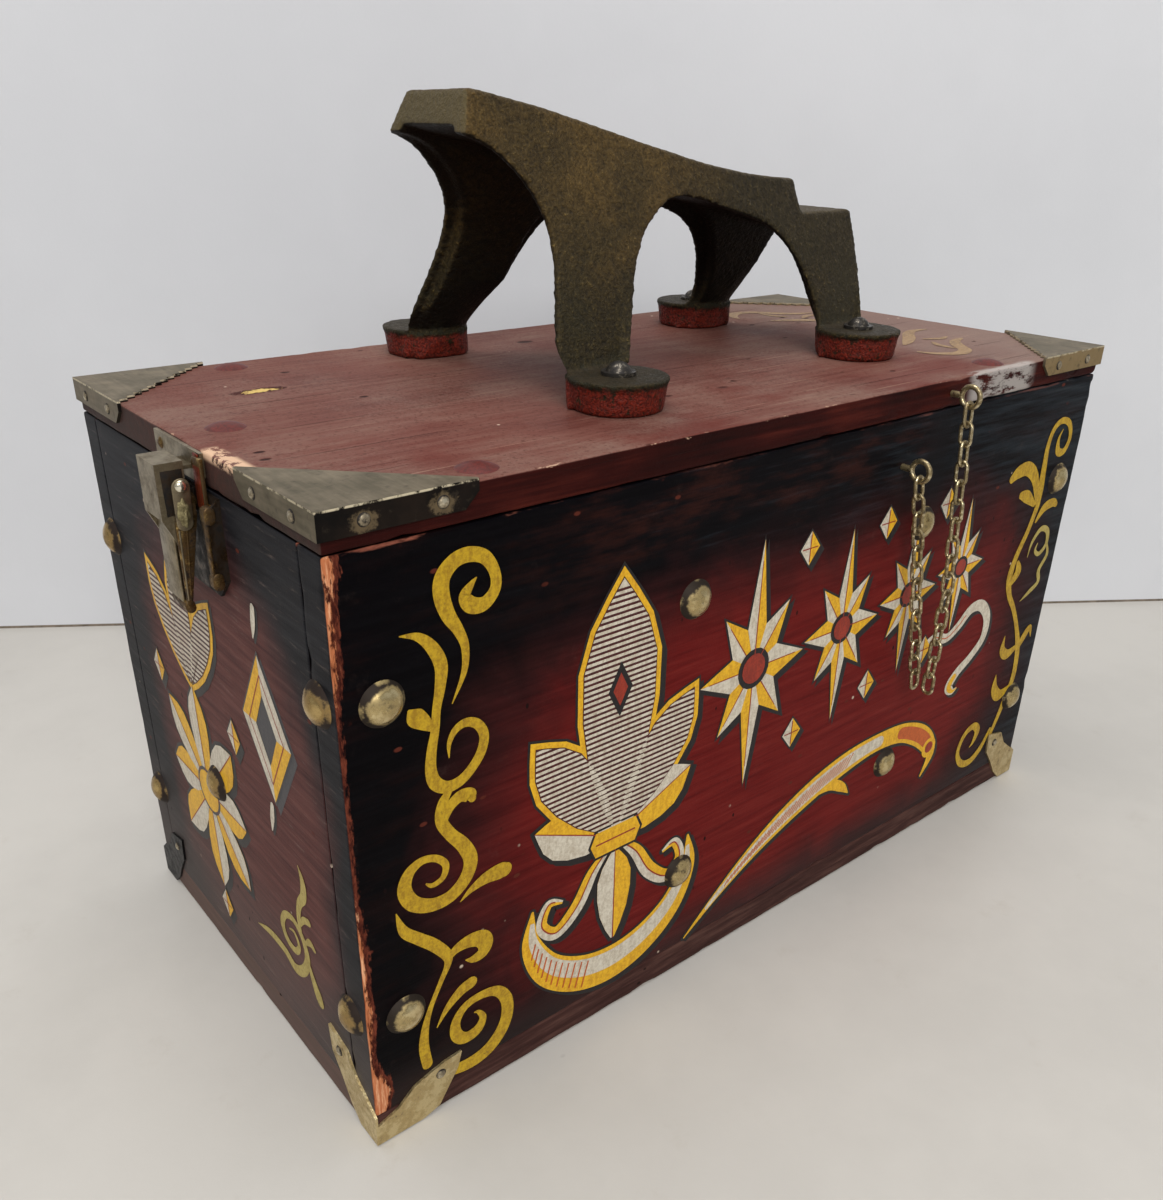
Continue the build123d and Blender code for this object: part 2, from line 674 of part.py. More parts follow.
def both_sides(make, w0, w1):
    """The same piece on either side of the latch's middle."""
    return make(w0, w1) + make(-w1, -w0)


def latch_base():
    outline = [(-latch_half, latch_bottom + latch_corner), (-latch_half + latch_corner, latch_bottom),
               (latch_half - latch_corner, latch_bottom), (latch_half, latch_bottom + latch_corner),
               (latch_half, latch_top), (-latch_half, latch_top)]
    back = Plane(origin=(-half_length, latch_y, 0), x_dir=(0, -1, 0), z_dir=(-1, 0, 0))
    base = plate(outline, back, latch_plate)
    rim = [(0, latch_bottom + latch_corner), (latch_rim, latch_bottom + latch_corner + 2), (latch_rim, latch_top - 3),
           (0, latch_top)]
    base = base + latch_solid(rim, latch_half - latch_plate, latch_half)
    base = base + latch_solid(rim, -latch_half, -latch_half + latch_plate)
    lug_w1 = lug_half_inner + lug
    root = [(latch_plate / 2, pivot[1] - lug_radius - 1), (pivot[0], pivot[1] - lug_radius),
            (pivot[0], pivot[1] + lug_radius), (latch_plate / 2, pivot[1] + lug_radius + 1)]
    for w0, w1 in ((lug_half_inner, lug_w1), (-lug_w1, -lug_half_inner)):
        ear = latch_solid(root, w0, w1) + latch_rod(pivot, lug_radius, w0, w1)
        base = base + ear
    base = base - latch_rod(pivot, latch_pin_radius + pin_fit, -latch_half, latch_half)
    return cut_holes(base, latch_nail_places, brad_radius + nail_fit, brad_length)


def latch_lever_pin():
    return latch_rod(pivot, latch_pin_radius, -lever_half, lever_half)


def latch_lever():
    """A folded lever: a face, two flanges round the lugs and a tip that tapers down."""
    tip_z = pivot[1] - lever_length
    side = [(pivot[0] - 1.0, pivot[1] - 2.6), (hook_pivot[0] - 2.0, hook_pivot[1]), (hook_pivot[0] - 1.2, hook_pivot[1] - 3),
            (lever_skin - 2.4, pivot[1] - 0.72 * lever_length), (lever_skin - 2.0, tip_z),
            (lever_skin - 0.7, tip_z), (lever_skin, pivot[1] - 0.6 * lever_length), (lever_skin, pivot[1])]
    flanges = None
    for w0, w1 in ((lever_half_inner, lever_half), (-lever_half, -lever_half_inner)):
        flange = latch_solid([*side, (pivot[0], pivot[1])], w0, w1) + latch_rod(pivot, lever_head, w0, w1)
        flanges = flange if flanges is None else flanges + flange
    skin = [(lever_skin - lever_sheet, pivot[1]), (lever_skin - lever_sheet, pivot[1] - 0.6 * lever_length),
            (lever_skin - 1.8, tip_z), (lever_skin - 0.7, tip_z), (lever_skin, pivot[1] - 0.6 * lever_length),
            (lever_skin, pivot[1])]
    lever = flanges + latch_solid(skin, -lever_half, lever_half)
    front = Plane(origin=(-half_length, latch_y, 0), x_dir=(0, -1, 0), z_dir=(-1, 0, 0))
    tip_half = 0.62 * lever_half
    silhouette = [(-lever_half, pivot[1] + 2 * lever_head), (-lever_half, pivot[1] - 0.55 * lever_length),
                  (-tip_half, tip_z + 1.5), (-tip_half + 1.5, tip_z), (tip_half - 1.5, tip_z), (tip_half, tip_z + 1.5),
                  (lever_half, pivot[1] - 0.55 * lever_length), (lever_half, pivot[1] + 2 * lever_head)]
    lever = lever & plate(silhouette, front, 3 * lever_skin)
    lever = lever - latch_rod(pivot, latch_pin_radius + pin_fit, -latch_half, latch_half)
    return lever - latch_rod(hook_pivot, latch_pin_radius + nail_fit, -latch_half, latch_half)


def latch_hook_pin():
    """A rivet through the lever and the hook's cheeks, with a head on either side."""
    pin = latch_rod(hook_pivot, latch_pin_radius, -hook_half - pin_fit, hook_half + pin_fit)
    for side in (-1, 1):
        face = hook_half + pin_fit
        start = (-half_length - hook_pivot[0], latch_y + side * face, hook_pivot[1])
        pin = pin + dome(start, (0, side, 0), latch_pin_radius + 0.8, latch_pin_cap)
    return pin


def latch_hook():
    """A box-shaped hook: a top, a face and two cheeks that hang from the rivet."""
    outer = hook_inner_u + hook_depth
    face_low = hook_top - hook_skirt
    cheek = [(hook_pivot[0], hook_pivot[1] - hook_eye), (hook_pivot[0] + hook_eye, hook_pivot[1]),
             (outer, face_low), (outer, hook_top), (hook_inner_u, hook_top), (hook_inner_u, hook_top - 4.5),
             (outer - 3.6, hook_top - 8.0), (outer - 3.8, face_low - 1), (hook_pivot[0] - 1.0, hook_pivot[1] + hook_eye)]
    hook = None
    for w0, w1 in ((hook_half_inner, hook_half), (-hook_half, -hook_half_inner)):
        side = latch_solid(cheek, w0, w1) + latch_rod(hook_pivot, hook_eye, w0, w1)
        hook = side if hook is None else hook + side
    top = [(hook_inner_u, hook_top - hook_sheet), (outer, hook_top - hook_sheet), (outer, hook_top),
           (hook_inner_u, hook_top)]
    face = [(outer - hook_sheet, face_low), (outer, face_low), (outer, hook_top), (outer - hook_sheet, hook_top)]
    hook = hook + latch_solid(top, -hook_half, hook_half) + latch_solid(face, -hook_half, hook_half)
    return hook - latch_rod(hook_pivot, latch_pin_radius + pin_fit, -latch_half, latch_half)


def latch_strike():
    """The plate on the lid's edge with the ledge that the hook pulls down."""
    front = Plane(origin=(-half_length, strike_y, 0), x_dir=(0, -1, 0), z_dir=(-1, 0, 0))
    outline = [(-strike_half, strike_bottom + 2), (-strike_half + 2, strike_bottom),
               (strike_half - 2, strike_bottom), (strike_half, strike_bottom + 2),
               (strike_half, strike_top), (-strike_half, strike_top)]
    body = plate(outline, front, latch_plate)
    body = body + block((-half_length - ledge_reach, latch_y - ledge_half, ledge_top - ledge),
                        (-half_length, latch_y + ledge_half, ledge_top))
    return cut_holes(body, strike_nail_places, brad_radius + nail_fit, brad_length)


# ------------------------------------------------------------------- stay chain
eye_plane_y = -half_width - eye_stand - eye_ring - eye_wire
far_strand_y = eye_plane_y - link_width - strand_gap


def screw_eye(x, z):
    loop = Plane(origin=(x, eye_plane_y, z), z_dir=(1, 0, 0)) * Torus(eye_ring, eye_wire)
    start = (x, eye_plane_y + eye_ring, z)
    shank = rod(start, Y_AXIS, eye_shank, -half_width + eye_screw - start[1])
    return loop + shank


def chain_link():
    """One oval link in the XY plane, long along X."""
    bend = (link_width - link_wire) / 2
    straight = link_length - link_width
    wire = link_wire / 2
    path = SlotOverall(link_length - link_wire, link_width - link_wire).wire()
    start = Vector(0, bend, 0)
    section = Plane(origin=start, z_dir=X_AXIS) * Circle(wire)
    return sweep(section, path=path) if straight > 0 else Torus(bend, wire)


link_pitch = link_length - 2 * link_wire - link_play
first_link = link_length / 2 - link_wire - eye_wire - link_play
link_tip = (link_length - link_wire) / 2


def strand_length(count):
    """From the eye's wire to the middle of the bow that closes the last link."""
    return first_link + (count - 1) * link_pitch + link_tip


lid_strand_pivot = (lid_eye_x, lid_eye_z - eye_ring)
box_strand_pivot = (box_eye_x, box_eye_z - eye_ring)


def strand_meeting():
    """Where the two hanging strands meet, as x and z: the lower crossing of two circles."""
    ax, az = lid_strand_pivot
    bx, bz = box_strand_pivot
    ra, rb = strand_length(lid_strand_links), strand_length(box_strand_links)
    apart = math.hypot(bx - ax, bz - az)
    along = (ra ** 2 - rb ** 2 + apart ** 2) / (2 * apart)
    aside = math.sqrt(ra ** 2 - along ** 2)
    ux, uz = (bx - ax) / apart, (bz - az) / apart
    first = (ax + ux * along - uz * aside, az + uz * along + ux * aside)
    second = (ax + ux * along + uz * aside, az + uz * along - ux * aside)
    return min(first, second, key=lambda point: point[1])


def chain_strand(pivot_xz, count, end_y):
    """Real links one through the next, down a straight line that may step out to end_y."""
    meet = strand_meeting()
    flat = Vector(meet[0] - pivot_xz[0], 0, meet[1] - pivot_xz[1]).normalized()
    total = strand_length(count)
    master = chain_link()
    links = []

    def point(distance):
        share = min(1.0, distance / (strand_bend * total))
        base = Vector(pivot_xz[0], eye_plane_y, pivot_xz[1]) + flat * distance
        return base + Vector(0, (end_y - eye_plane_y) * share, 0)

    for number in range(count):
        distance = first_link + number * link_pitch
        centre = point(distance)
        run = (point(distance + link_tip) - point(distance - min(link_tip, distance))).normalized()
        across = Vector(0, 1, 0)
        upright = (across - run * across.dot(run)).normalized()
        normal = upright if number % 2 == 0 else run.cross(upright)
        links.append(Plane(origin=centre, x_dir=run, z_dir=normal) * master)
    return group(links)


# ------------------------------------------------------------------ every node
nodes = {
    "bottom_board": bottom_board,
    "front_board": lambda: long_wall(-1),
    "back_board": lambda: long_wall(1),
    "latch_end_board": lambda: end_wall(-1),
    "hinge_end_board": lambda: end_wall(1),
    "latch_side_divider": lambda: divider(divider_x[0]),
    "hinge_side_divider": lambda: divider(divider_x[1]),
    "wall_nails": lambda: wire_nails(wall_nail_places, wall_nail_length),
    "bottom_nails": lambda: wire_nails(bottom_nail_places, bottom_nail_length),
    "front_tacks": lambda: dome_tacks(front_tack_places, tack_radius, tack_dome, wall_tack_pin),
    "back_tacks": lambda: dome_tacks(back_tack_places, tack_radius, tack_dome, wall_tack_pin),
    "latch_end_tacks": lambda: dome_tacks(latch_end_tack_places, tack_radius, tack_dome, end_tack_pin),
    "hinge_end_tacks": lambda: dome_tacks(hinge_end_tack_places, tack_radius, tack_dome, end_tack_pin),
    "guard_nails": lambda: brads(guard_nail_places),
    "hinge_box_screws": lambda: round_screws(hinge_box_screws_places),
    "hinge_pins": hinge_pins,
    "latch_base": latch_base,
    "latch_base_nails": lambda: brads(latch_nail_places),
    "latch_lever_pin": latch_lever_pin,
    "chain_box_eye": lambda: screw_eye(box_eye_x, box_eye_z),
    "lid_board": lid_board,
    "lid_tacks": lambda: dome_tacks(lid_tack_list, lid_tack_radius, lid_tack_dome, lid_tack_pin),
    "bracket_nails": lambda: brads(bracket_nail_places),
    "hinge_lid_screws": lambda: round_screws(hinge_lid_screws_places),
    "latch_strike": latch_strike,
    "latch_strike_nails": lambda: brads(strike_nail_places),
    "chain_lid_eye": lambda: screw_eye(lid_eye_x, lid_eye_z),
    "footrest": footrest,
    "footrest_bolts": footrest_bolts,
    "footrest_top_washers": lambda: footrest_washers(lid_top + pad_height),
    "footrest_under_washers": lambda: footrest_washers(lid_bottom - washer),
    "footrest_nuts": footrest_nuts,
    "latch_lever": latch_lever,
    "latch_hook_pin": latch_hook_pin,
    "latch_hook": latch_hook,
    "chain_lid_strand": lambda: chain_strand(lid_strand_pivot, lid_strand_links, far_strand_y),
    "chain_box_strand": lambda: chain_strand(box_strand_pivot, box_strand_links, eye_plane_y),
}
corner_names = {(-1, -1): "front_latch", (1, -1): "front_hinge", (-1, 1): "back_latch", (1, 1): "back_hinge"}
for signs, label in corner_names.items():
    nodes[label + "_bracket"] = lambda signs=signs: corner_bracket(*signs)
    nodes[label + "_guard"] = lambda signs=signs: corner_guard(*signs)
for middle, label in zip(hinge_middles, ("front", "back")):
    nodes[label + "_hinge_box_leaf"] = lambda middle=middle: hinge_box_leaf(middle)
    nodes[label + "_hinge_lid_leaf"] = lambda middle=middle: hinge_lid_leaf(middle)

os.makedirs("parts", exist_ok=True)
for name, make in nodes.items():
    export_step(make(), "parts/" + name + ".step")
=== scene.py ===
"""The look of the wooden shoe shine box: worn painted boards, sign-painter's ornament, a rough cast
footrest, tarnished metalwork and the plain pale floor and wall it stands before.

Sizes are in millimetres until a mesh is made, and colours are written as a screen shows them, 0 to 255.
The painted front faces -Y, the latch end -X."""
import math

import bpy
import bmesh
from mathutils import Matrix, Vector, noise


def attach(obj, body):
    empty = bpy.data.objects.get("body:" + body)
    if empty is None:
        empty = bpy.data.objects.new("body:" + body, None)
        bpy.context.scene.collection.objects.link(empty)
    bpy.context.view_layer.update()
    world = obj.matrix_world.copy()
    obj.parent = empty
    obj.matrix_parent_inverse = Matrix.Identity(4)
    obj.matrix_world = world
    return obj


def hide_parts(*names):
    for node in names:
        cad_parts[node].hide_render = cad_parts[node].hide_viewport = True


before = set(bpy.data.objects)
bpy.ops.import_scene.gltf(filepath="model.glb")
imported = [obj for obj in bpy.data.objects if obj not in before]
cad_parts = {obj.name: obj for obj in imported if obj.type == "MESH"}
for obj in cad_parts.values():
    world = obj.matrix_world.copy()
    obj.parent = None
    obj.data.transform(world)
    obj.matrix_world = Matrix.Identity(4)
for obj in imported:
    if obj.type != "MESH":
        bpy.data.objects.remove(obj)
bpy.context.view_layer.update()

# ------------------------------------------------------------------ sizes of the real thing, in mm
HALF_LENGTH = 165.0
HALF_WIDTH = 82.0
WALL = 12.0
INNER_LENGTH = HALF_LENGTH - WALL
INNER_WIDTH = HALF_WIDTH - WALL
FLOOR_BOARD = 10.5
SEAM = 181.3
LID_LOW = 181.6
LID_TOP = 191.1
PADS = ((-50.0, -46.5), (-50.0, 59.5), (74.0, -36.0), (74.0, 49.0))
LATCH_Y = -9.0


# ----------------------------------------------------------------------------------------- camera
def set_camera():
    """The camera that was solved from the picture's straight edges."""
    data = bpy.data.cameras.new("photo_camera")
    data.lens = 32.45
    data.sensor_width = 36.0
    data.shift_x, data.shift_y = 0.0023, 0.0513
    data.clip_start = 0.01
    camera = bpy.data.objects.new("photo_camera", data)
    right = Vector((0.7769, -0.6296, 0.0130))
    down = Vector((-0.2720, -0.3541, -0.8948))
    ahead = right.cross(down).normalized()
    right = down.cross(ahead).normalized()
    turn = Matrix((right, -down.normalized(), -ahead)).transposed()
    camera.matrix_world = Matrix.Translation((-0.2603, -0.2863, 0.2663)) @ turn.to_4x4()
    bpy.context.collection.objects.link(camera)
    bpy.context.scene.camera = camera


# -------------------------------------------------------------------------------------- materials
def rgb(color):
    """The linear light that a shader takes for a screen colour. Four numbers are linear already."""
    def linear(value):
        value /= 255
        return value / 12.92 if value <= 0.04045 else ((value + 0.055) / 1.055) ** 2.4
    return color if len(color) == 4 else (*map(linear, color), 1.0)


def spread(shift):
    """Moves a pattern to another part of itself."""
    return (shift, shift * 0.7, shift * 1.3)


def scales(size):
    """The scale of a pattern whose lumps are size millimetres, alike all ways or given for x, y and z."""
    return [1 / side for side in (size if isinstance(size, tuple) else (size,) * 3)]


def operator(name, turned=False):
    return lambda one, other=0.0: one.work.math(name, *((other, one) if turned else (one, other)))


class Field:
    """A number or colour that changes over the surface. Arithmetic on it adds the nodes for it."""

    def __init__(self, work, socket):
        self.work, self.socket = work, socket

    __add__ = __radd__ = operator("ADD")
    __mul__ = __rmul__ = operator("MULTIPLY")
    __sub__, __rsub__ = operator("SUBTRACT"), operator("SUBTRACT", True)
    __truediv__, __pow__, __abs__ = operator("DIVIDE"), operator("POWER"), operator("ABSOLUTE")

    def step(self, low, high):
        """0 below low, 1 above high, smooth between. low may be the larger number."""
        flip = not isinstance(low, Field) and not isinstance(high, Field) and low > high
        if flip:
            low, high = high, low
        return self.work.made("ShaderNodeMapRange", {
            "Value": self, "From Min": low, "From Max": high, "To Min": float(flip), "To Max": float(not flip)},
            interpolation_type="SMOOTHSTEP")


class Nodes:
    """Adds nodes to one tree. Lengths on the surface are millimetres."""

    def __init__(self, tree):
        self.tree = tree

    def add(self, kind, **settings):
        node = self.tree.nodes.new(kind)
        for key, value in settings.items():
            setattr(node, key, value)
        return node

    def join(self, value, socket):
        if isinstance(value, Field):
            value = value.socket
        if isinstance(value, bpy.types.NodeSocket):
            self.tree.links.new(value, socket)
        else:
            socket.default_value = rgb(value) if socket.type == "RGBA" else value

    def made(self, kind, inputs, output=0, **settings):
        """One output of a new node, whose inputs are joined by name or number."""
        node = self.add(kind, **settings)
        for key, value in inputs.items():
            self.join(value, node.inputs[key])
        return Field(self, node.outputs[output])

    def use(self, name, **values):
        """Places one of the effect groups with its own values, and gives its outputs."""
        node = self.add("ShaderNodeGroup")
        node.node_tree = bpy.data.node_groups[name]
        for label, value in dict(values, Place=self.place).items():
            self.join(value, node.inputs[label.replace("_", " ")])
        results = [Field(self, socket) for socket in node.outputs]
        return results if len(results) > 1 else results[0]

    def math(self, operation, *values):
        return self.made("ShaderNodeMath", dict(enumerate(values)), operation=operation)

    def most(self, first, *others, operation="MAXIMUM"):
        for other in others:
            first = self.math(operation, first, other)
        return first

    def blend(self, mask, under, over):
        return self.made("ShaderNodeMix", {0: mask, 6: under, 7: over}, 2, data_type="RGBA")

    def scaled(self, vector, factor):
        return self.made("ShaderNodeVectorMath", {0: vector, "Scale": factor}, operation="SCALE")

    def split(self, vector):
        node = self.add("ShaderNodeSeparateXYZ")
        self.join(vector, node.inputs[0])
        return [Field(self, socket) for socket in node.outputs]

    def shades(self, value, *stops):
        """Colours that follow a value, given as pairs of value and colour."""
        node = self.add("ShaderNodeValToRGB")
        elements = node.color_ramp.elements
        while len(elements) < len(stops):
            elements.new(0.5)
        for element, (position, color) in zip(elements, stops):
            element.position = position
            element.color = rgb(color)
        self.join(value, node.inputs[0])
        return Field(self, node.outputs[0])

    def grain(self, size, detail=4.0, rough=0.55, stretch=(1, 1, 1), shift=0.0, warp=0.0):
        """Soft noise whose lumps are about size millimetres."""
        return self.use("soft_grain", Scale=[1 / (size * s) for s in stretch], Shift=spread(shift), Detail=detail,
                        Roughness=rough, Swirl=warp)

    def flecks(self, spacing, radius, shift, patch, low, stretch=(1, 1, 1)):
        """Small round spots about spacing millimetres apart, only inside larger patches."""
        return self.use("flecks", Scale=[1 / (spacing * s) for s in stretch], Shift=spread(shift), Radius=radius,
                        Patch_Scale=scales(patch), Patch_Low=low)


class Look(Nodes):
    """One procedural material on a Principled shader. Its colour is laid on coat by coat."""

    def __init__(self, name):
        self.material = bpy.data.materials.new(name)
        self.material.use_nodes = True
        super().__init__(self.material.node_tree)
        self.tree.nodes.clear()
        self.shader = self.add("ShaderNodeBsdfPrincipled")
        self.output = self.add("ShaderNodeOutputMaterial")
        self.join(self.shader.outputs[0], self.output.inputs[0])
        coordinates = self.add("ShaderNodeTexCoord")
        self.place = self.scaled(coordinates.outputs["Object"], 1000.0)
        self.facing = coordinates.outputs["Normal"]
        self.xyz, self.out_xyz = self.split(self.place), self.split(self.facing)

    def coat(self, mask, color):
        self.color = self.blend(mask, self.color, color)

    def dust(self, color, size, shift, low, high, amount):
        self.color = self.use("dust", Scale=scales(size), Shift=spread(shift), Under=self.color, Dust=color, Low=low,
                              High=high, Amount=amount)

    def wood(self, size, shift, dark, middle, light):
        return self.use("wood_figure", Scale=scales(size), Shift=spread(shift), Dark=dark, Middle=middle, Light=light)

    def relief(self, *layers):
        """Bumps from pairs of height and depth, depth in millimetres."""
        normal = None
        for height, depth in layers:
            below = {"Normal": normal} if normal else {}
            normal = self.made("ShaderNodeBump", {"Strength": 1.0, "Distance": depth / 1000, "Height": height, **below})
        self.join(normal, self.shader.inputs["Normal"])

    def finish(self, roughness, metallic=0.0, specular=0.5):
        for label, value in (("Base Color", self.color), ("Roughness", roughness), ("Metallic", metallic),
                             ("Specular IOR Level", specular)):
            self.join(value, self.shader.inputs[label])
        return self.material


# ------------------------------------------------- effects that several finishes share, as node groups
class Effect(Nodes):
    """A node group. Its inputs are names with values, Place the first of them."""

    def __init__(self, name, outputs, **inputs):
        super().__init__(bpy.data.node_groups.new(name, "ShaderNodeTree"))
        sides = [("INPUT", label, value) for label, value in dict(Place=(0, 0, 0), **inputs).items()]
        for side, label, value in sides + [("OUTPUT", label, GRAY if label == "Color" else 0.0) for label in outputs]:
            kind = "Float" if isinstance(value, float) else ("Vector", "Color")[len(value) - 3]
            socket = self.tree.interface.new_socket(
                name=label.replace("_", " "), in_out=side, socket_type="NodeSocket" + kind)
            if side == "INPUT":
                socket.default_value = value
        self.given = {socket.name: Field(self, socket) for socket in self.add("NodeGroupInput").outputs}
        self.place = self.given["Place"]
        self.results = self.add("NodeGroupOutput").inputs

    def mapped(self):
        return self.made("ShaderNodeMapping", {"Vector": self.place, "Scale": self.given["Scale"],
                                               "Location": self.given["Shift"]})

    def noise(self, scale, detail=4.0, rough=0.55):
        return self.use("soft_grain", Scale=scale, Shift=self.given["Shift"], Detail=detail, Roughness=rough)

    def give(self, **values):
        for label, value in values.items():
            self.join(value, self.results[label])


ONES = (1, 1, 1)
ZERO = (0, 0, 0)
GRAY = (0.5, 0.5, 0.5, 1)


def make_soft_grain():
    effect = Effect("soft_grain", ["Grain"], Scale=ONES, Shift=ZERO, Detail=4.0, Roughness=0.55, Swirl=0.0)
    given = effect.given
    effect.give(Grain=effect.made("ShaderNodeTexNoise", {
        "Vector": effect.mapped(), "Scale": 1.0, "Detail": given["Detail"], "Roughness": given["Roughness"],
        "Distortion": given["Swirl"]}))


def make_flecks():
    effect = Effect("flecks", ["Mask"], Scale=ONES, Shift=ZERO, Radius=0.08, Patch_Scale=ONES, Patch_Low=0.5)
    given = effect.given
    cells = effect.made("ShaderNodeTexVoronoi", {"Vector": effect.mapped(), "Scale": 1.0}, feature="F1")
    beyond = cells.step(given["Radius"] * 0.56, given["Radius"])
    inside = effect.noise(given["Patch Scale"], 2.0).step(given["Patch Low"], given["Patch Low"] + 0.07)
    effect.give(Mask=(1.0 - beyond) * inside)


def make_wood_figure():
    effect = Effect("wood_figure", ["Color", "Height"], Scale=ONES, Shift=ZERO, Dark=GRAY, Middle=GRAY, Light=GRAY)
    given = effect.given
    streaks = effect.noise(given["Scale"], 5.0, 0.64)
    color = effect.blend(streaks.step(0.30, 0.48), given["Dark"], given["Middle"])
    effect.give(Color=effect.blend(streaks.step(0.48, 0.68), color, given["Light"]), Height=streaks)


def make_dust():
    effect = Effect("dust", ["Color"], Scale=ONES, Shift=ZERO, Under=GRAY, Dust=GRAY, Low=0.5, High=0.7, Amount=0.3)
    given = effect.given
    mask = effect.noise(given["Scale"], 5.0, 0.68).step(given["Low"], given["High"]) * given["Amount"]
    effect.give(Color=effect.blend(mask, given["Under"], given["Dust"]))


def make_brushed_enamel():
    effect = Effect("brushed_enamel", ["Color", "Height"], Shift=ZERO, Base=GRAY, Deep=GRAY, Ground=GRAY, Wear=0.7)
    given = effect.given
    stroke = effect.noise((0.62, 0.62, 0.2), 4.0, 0.65)
    blot = effect.noise((1.1, 1.1, 1.1), 3.0, 0.7)
    color = effect.blend((stroke * 0.5 + blot * 0.5).step(0.36, 0.62), given["Deep"], given["Base"])
    scraped = effect.noise((0.9, 0.9, 0.9), 5.0, 0.8)
    patch = effect.noise((0.045,) * 3, 3.0)
    lost = scraped.step(given["Wear"], given["Wear"] + 0.05) * (patch.step(0.44, 0.62) * 0.6 + 0.25)
    effect.give(Color=effect.blend(lost, color, given["Ground"]), Height=blot + lost * -0.8)


def make_old_metal():
    """Bright where it is rubbed, dull and dark elsewhere, and darker still round the rims of domes."""
    effect = Effect("old_metal", ["Color", "Roughness", "Metallic", "Height"], Scale=ONES, Shift=ZERO, Facing=(0, 0, 1),
                    Bright=GRAY, Dull=GRAY, Dark=GRAY, Tarnish=0.5, Polish=0.4, Rim=0.0)
    given = effect.given
    patch = effect.noise(given["Scale"], 4.0, 0.62)
    pits = effect.noise(effect.scaled(given["Scale"], 5.0), 3.0, 0.7)
    square = effect.most(*(abs(part) for part in effect.split(given["Facing"])))
    past = patch * 0.75 + pits * 0.25 + square.step(0.90, 0.62) * given["Rim"] - given["Tarnish"]
    color = effect.blend(past.step(-0.14, 0.02), given["Bright"], given["Dull"])
    shine = past.step(0.16, -0.06)
    effect.give(Color=effect.blend(past.step(0.02, 0.20), color, given["Dark"]), Metallic=shine * 0.45 + 0.5,
                Roughness=0.66 - shine * (0.66 - given["Polish"]), Height=patch + pits * 0.6)


# ------------------------------------------------------------------------------------ the finishes
def bare_inside(look, only=1.0):
    """Leaves the boards bare where they face the inside of the box."""
    (x, y, _), painted = look.xyz, look.color
    tones = (4.0, (88, 60, 40), (124, 92, 62), (156, 120, 86))
    along_x, along_y = (look.wood(size, *tones)[0] for size in ((24, 1.5, 1.5), (1.5, 24, 1.5)))
    look.color = look.blend(abs(look.out_xyz[0]).step(0.4, 0.7), along_x, along_y)
    look.dust((50, 34, 26), 24, 3.0, 0.48, 0.70, 0.6)
    inside = abs(x).step(INNER_LENGTH + 0.9, INNER_LENGTH + 0.5) * abs(y).step(INNER_WIDTH + 0.9, INNER_WIDTH + 0.5)
    look.color = look.blend(inside * only, painted, look.color)


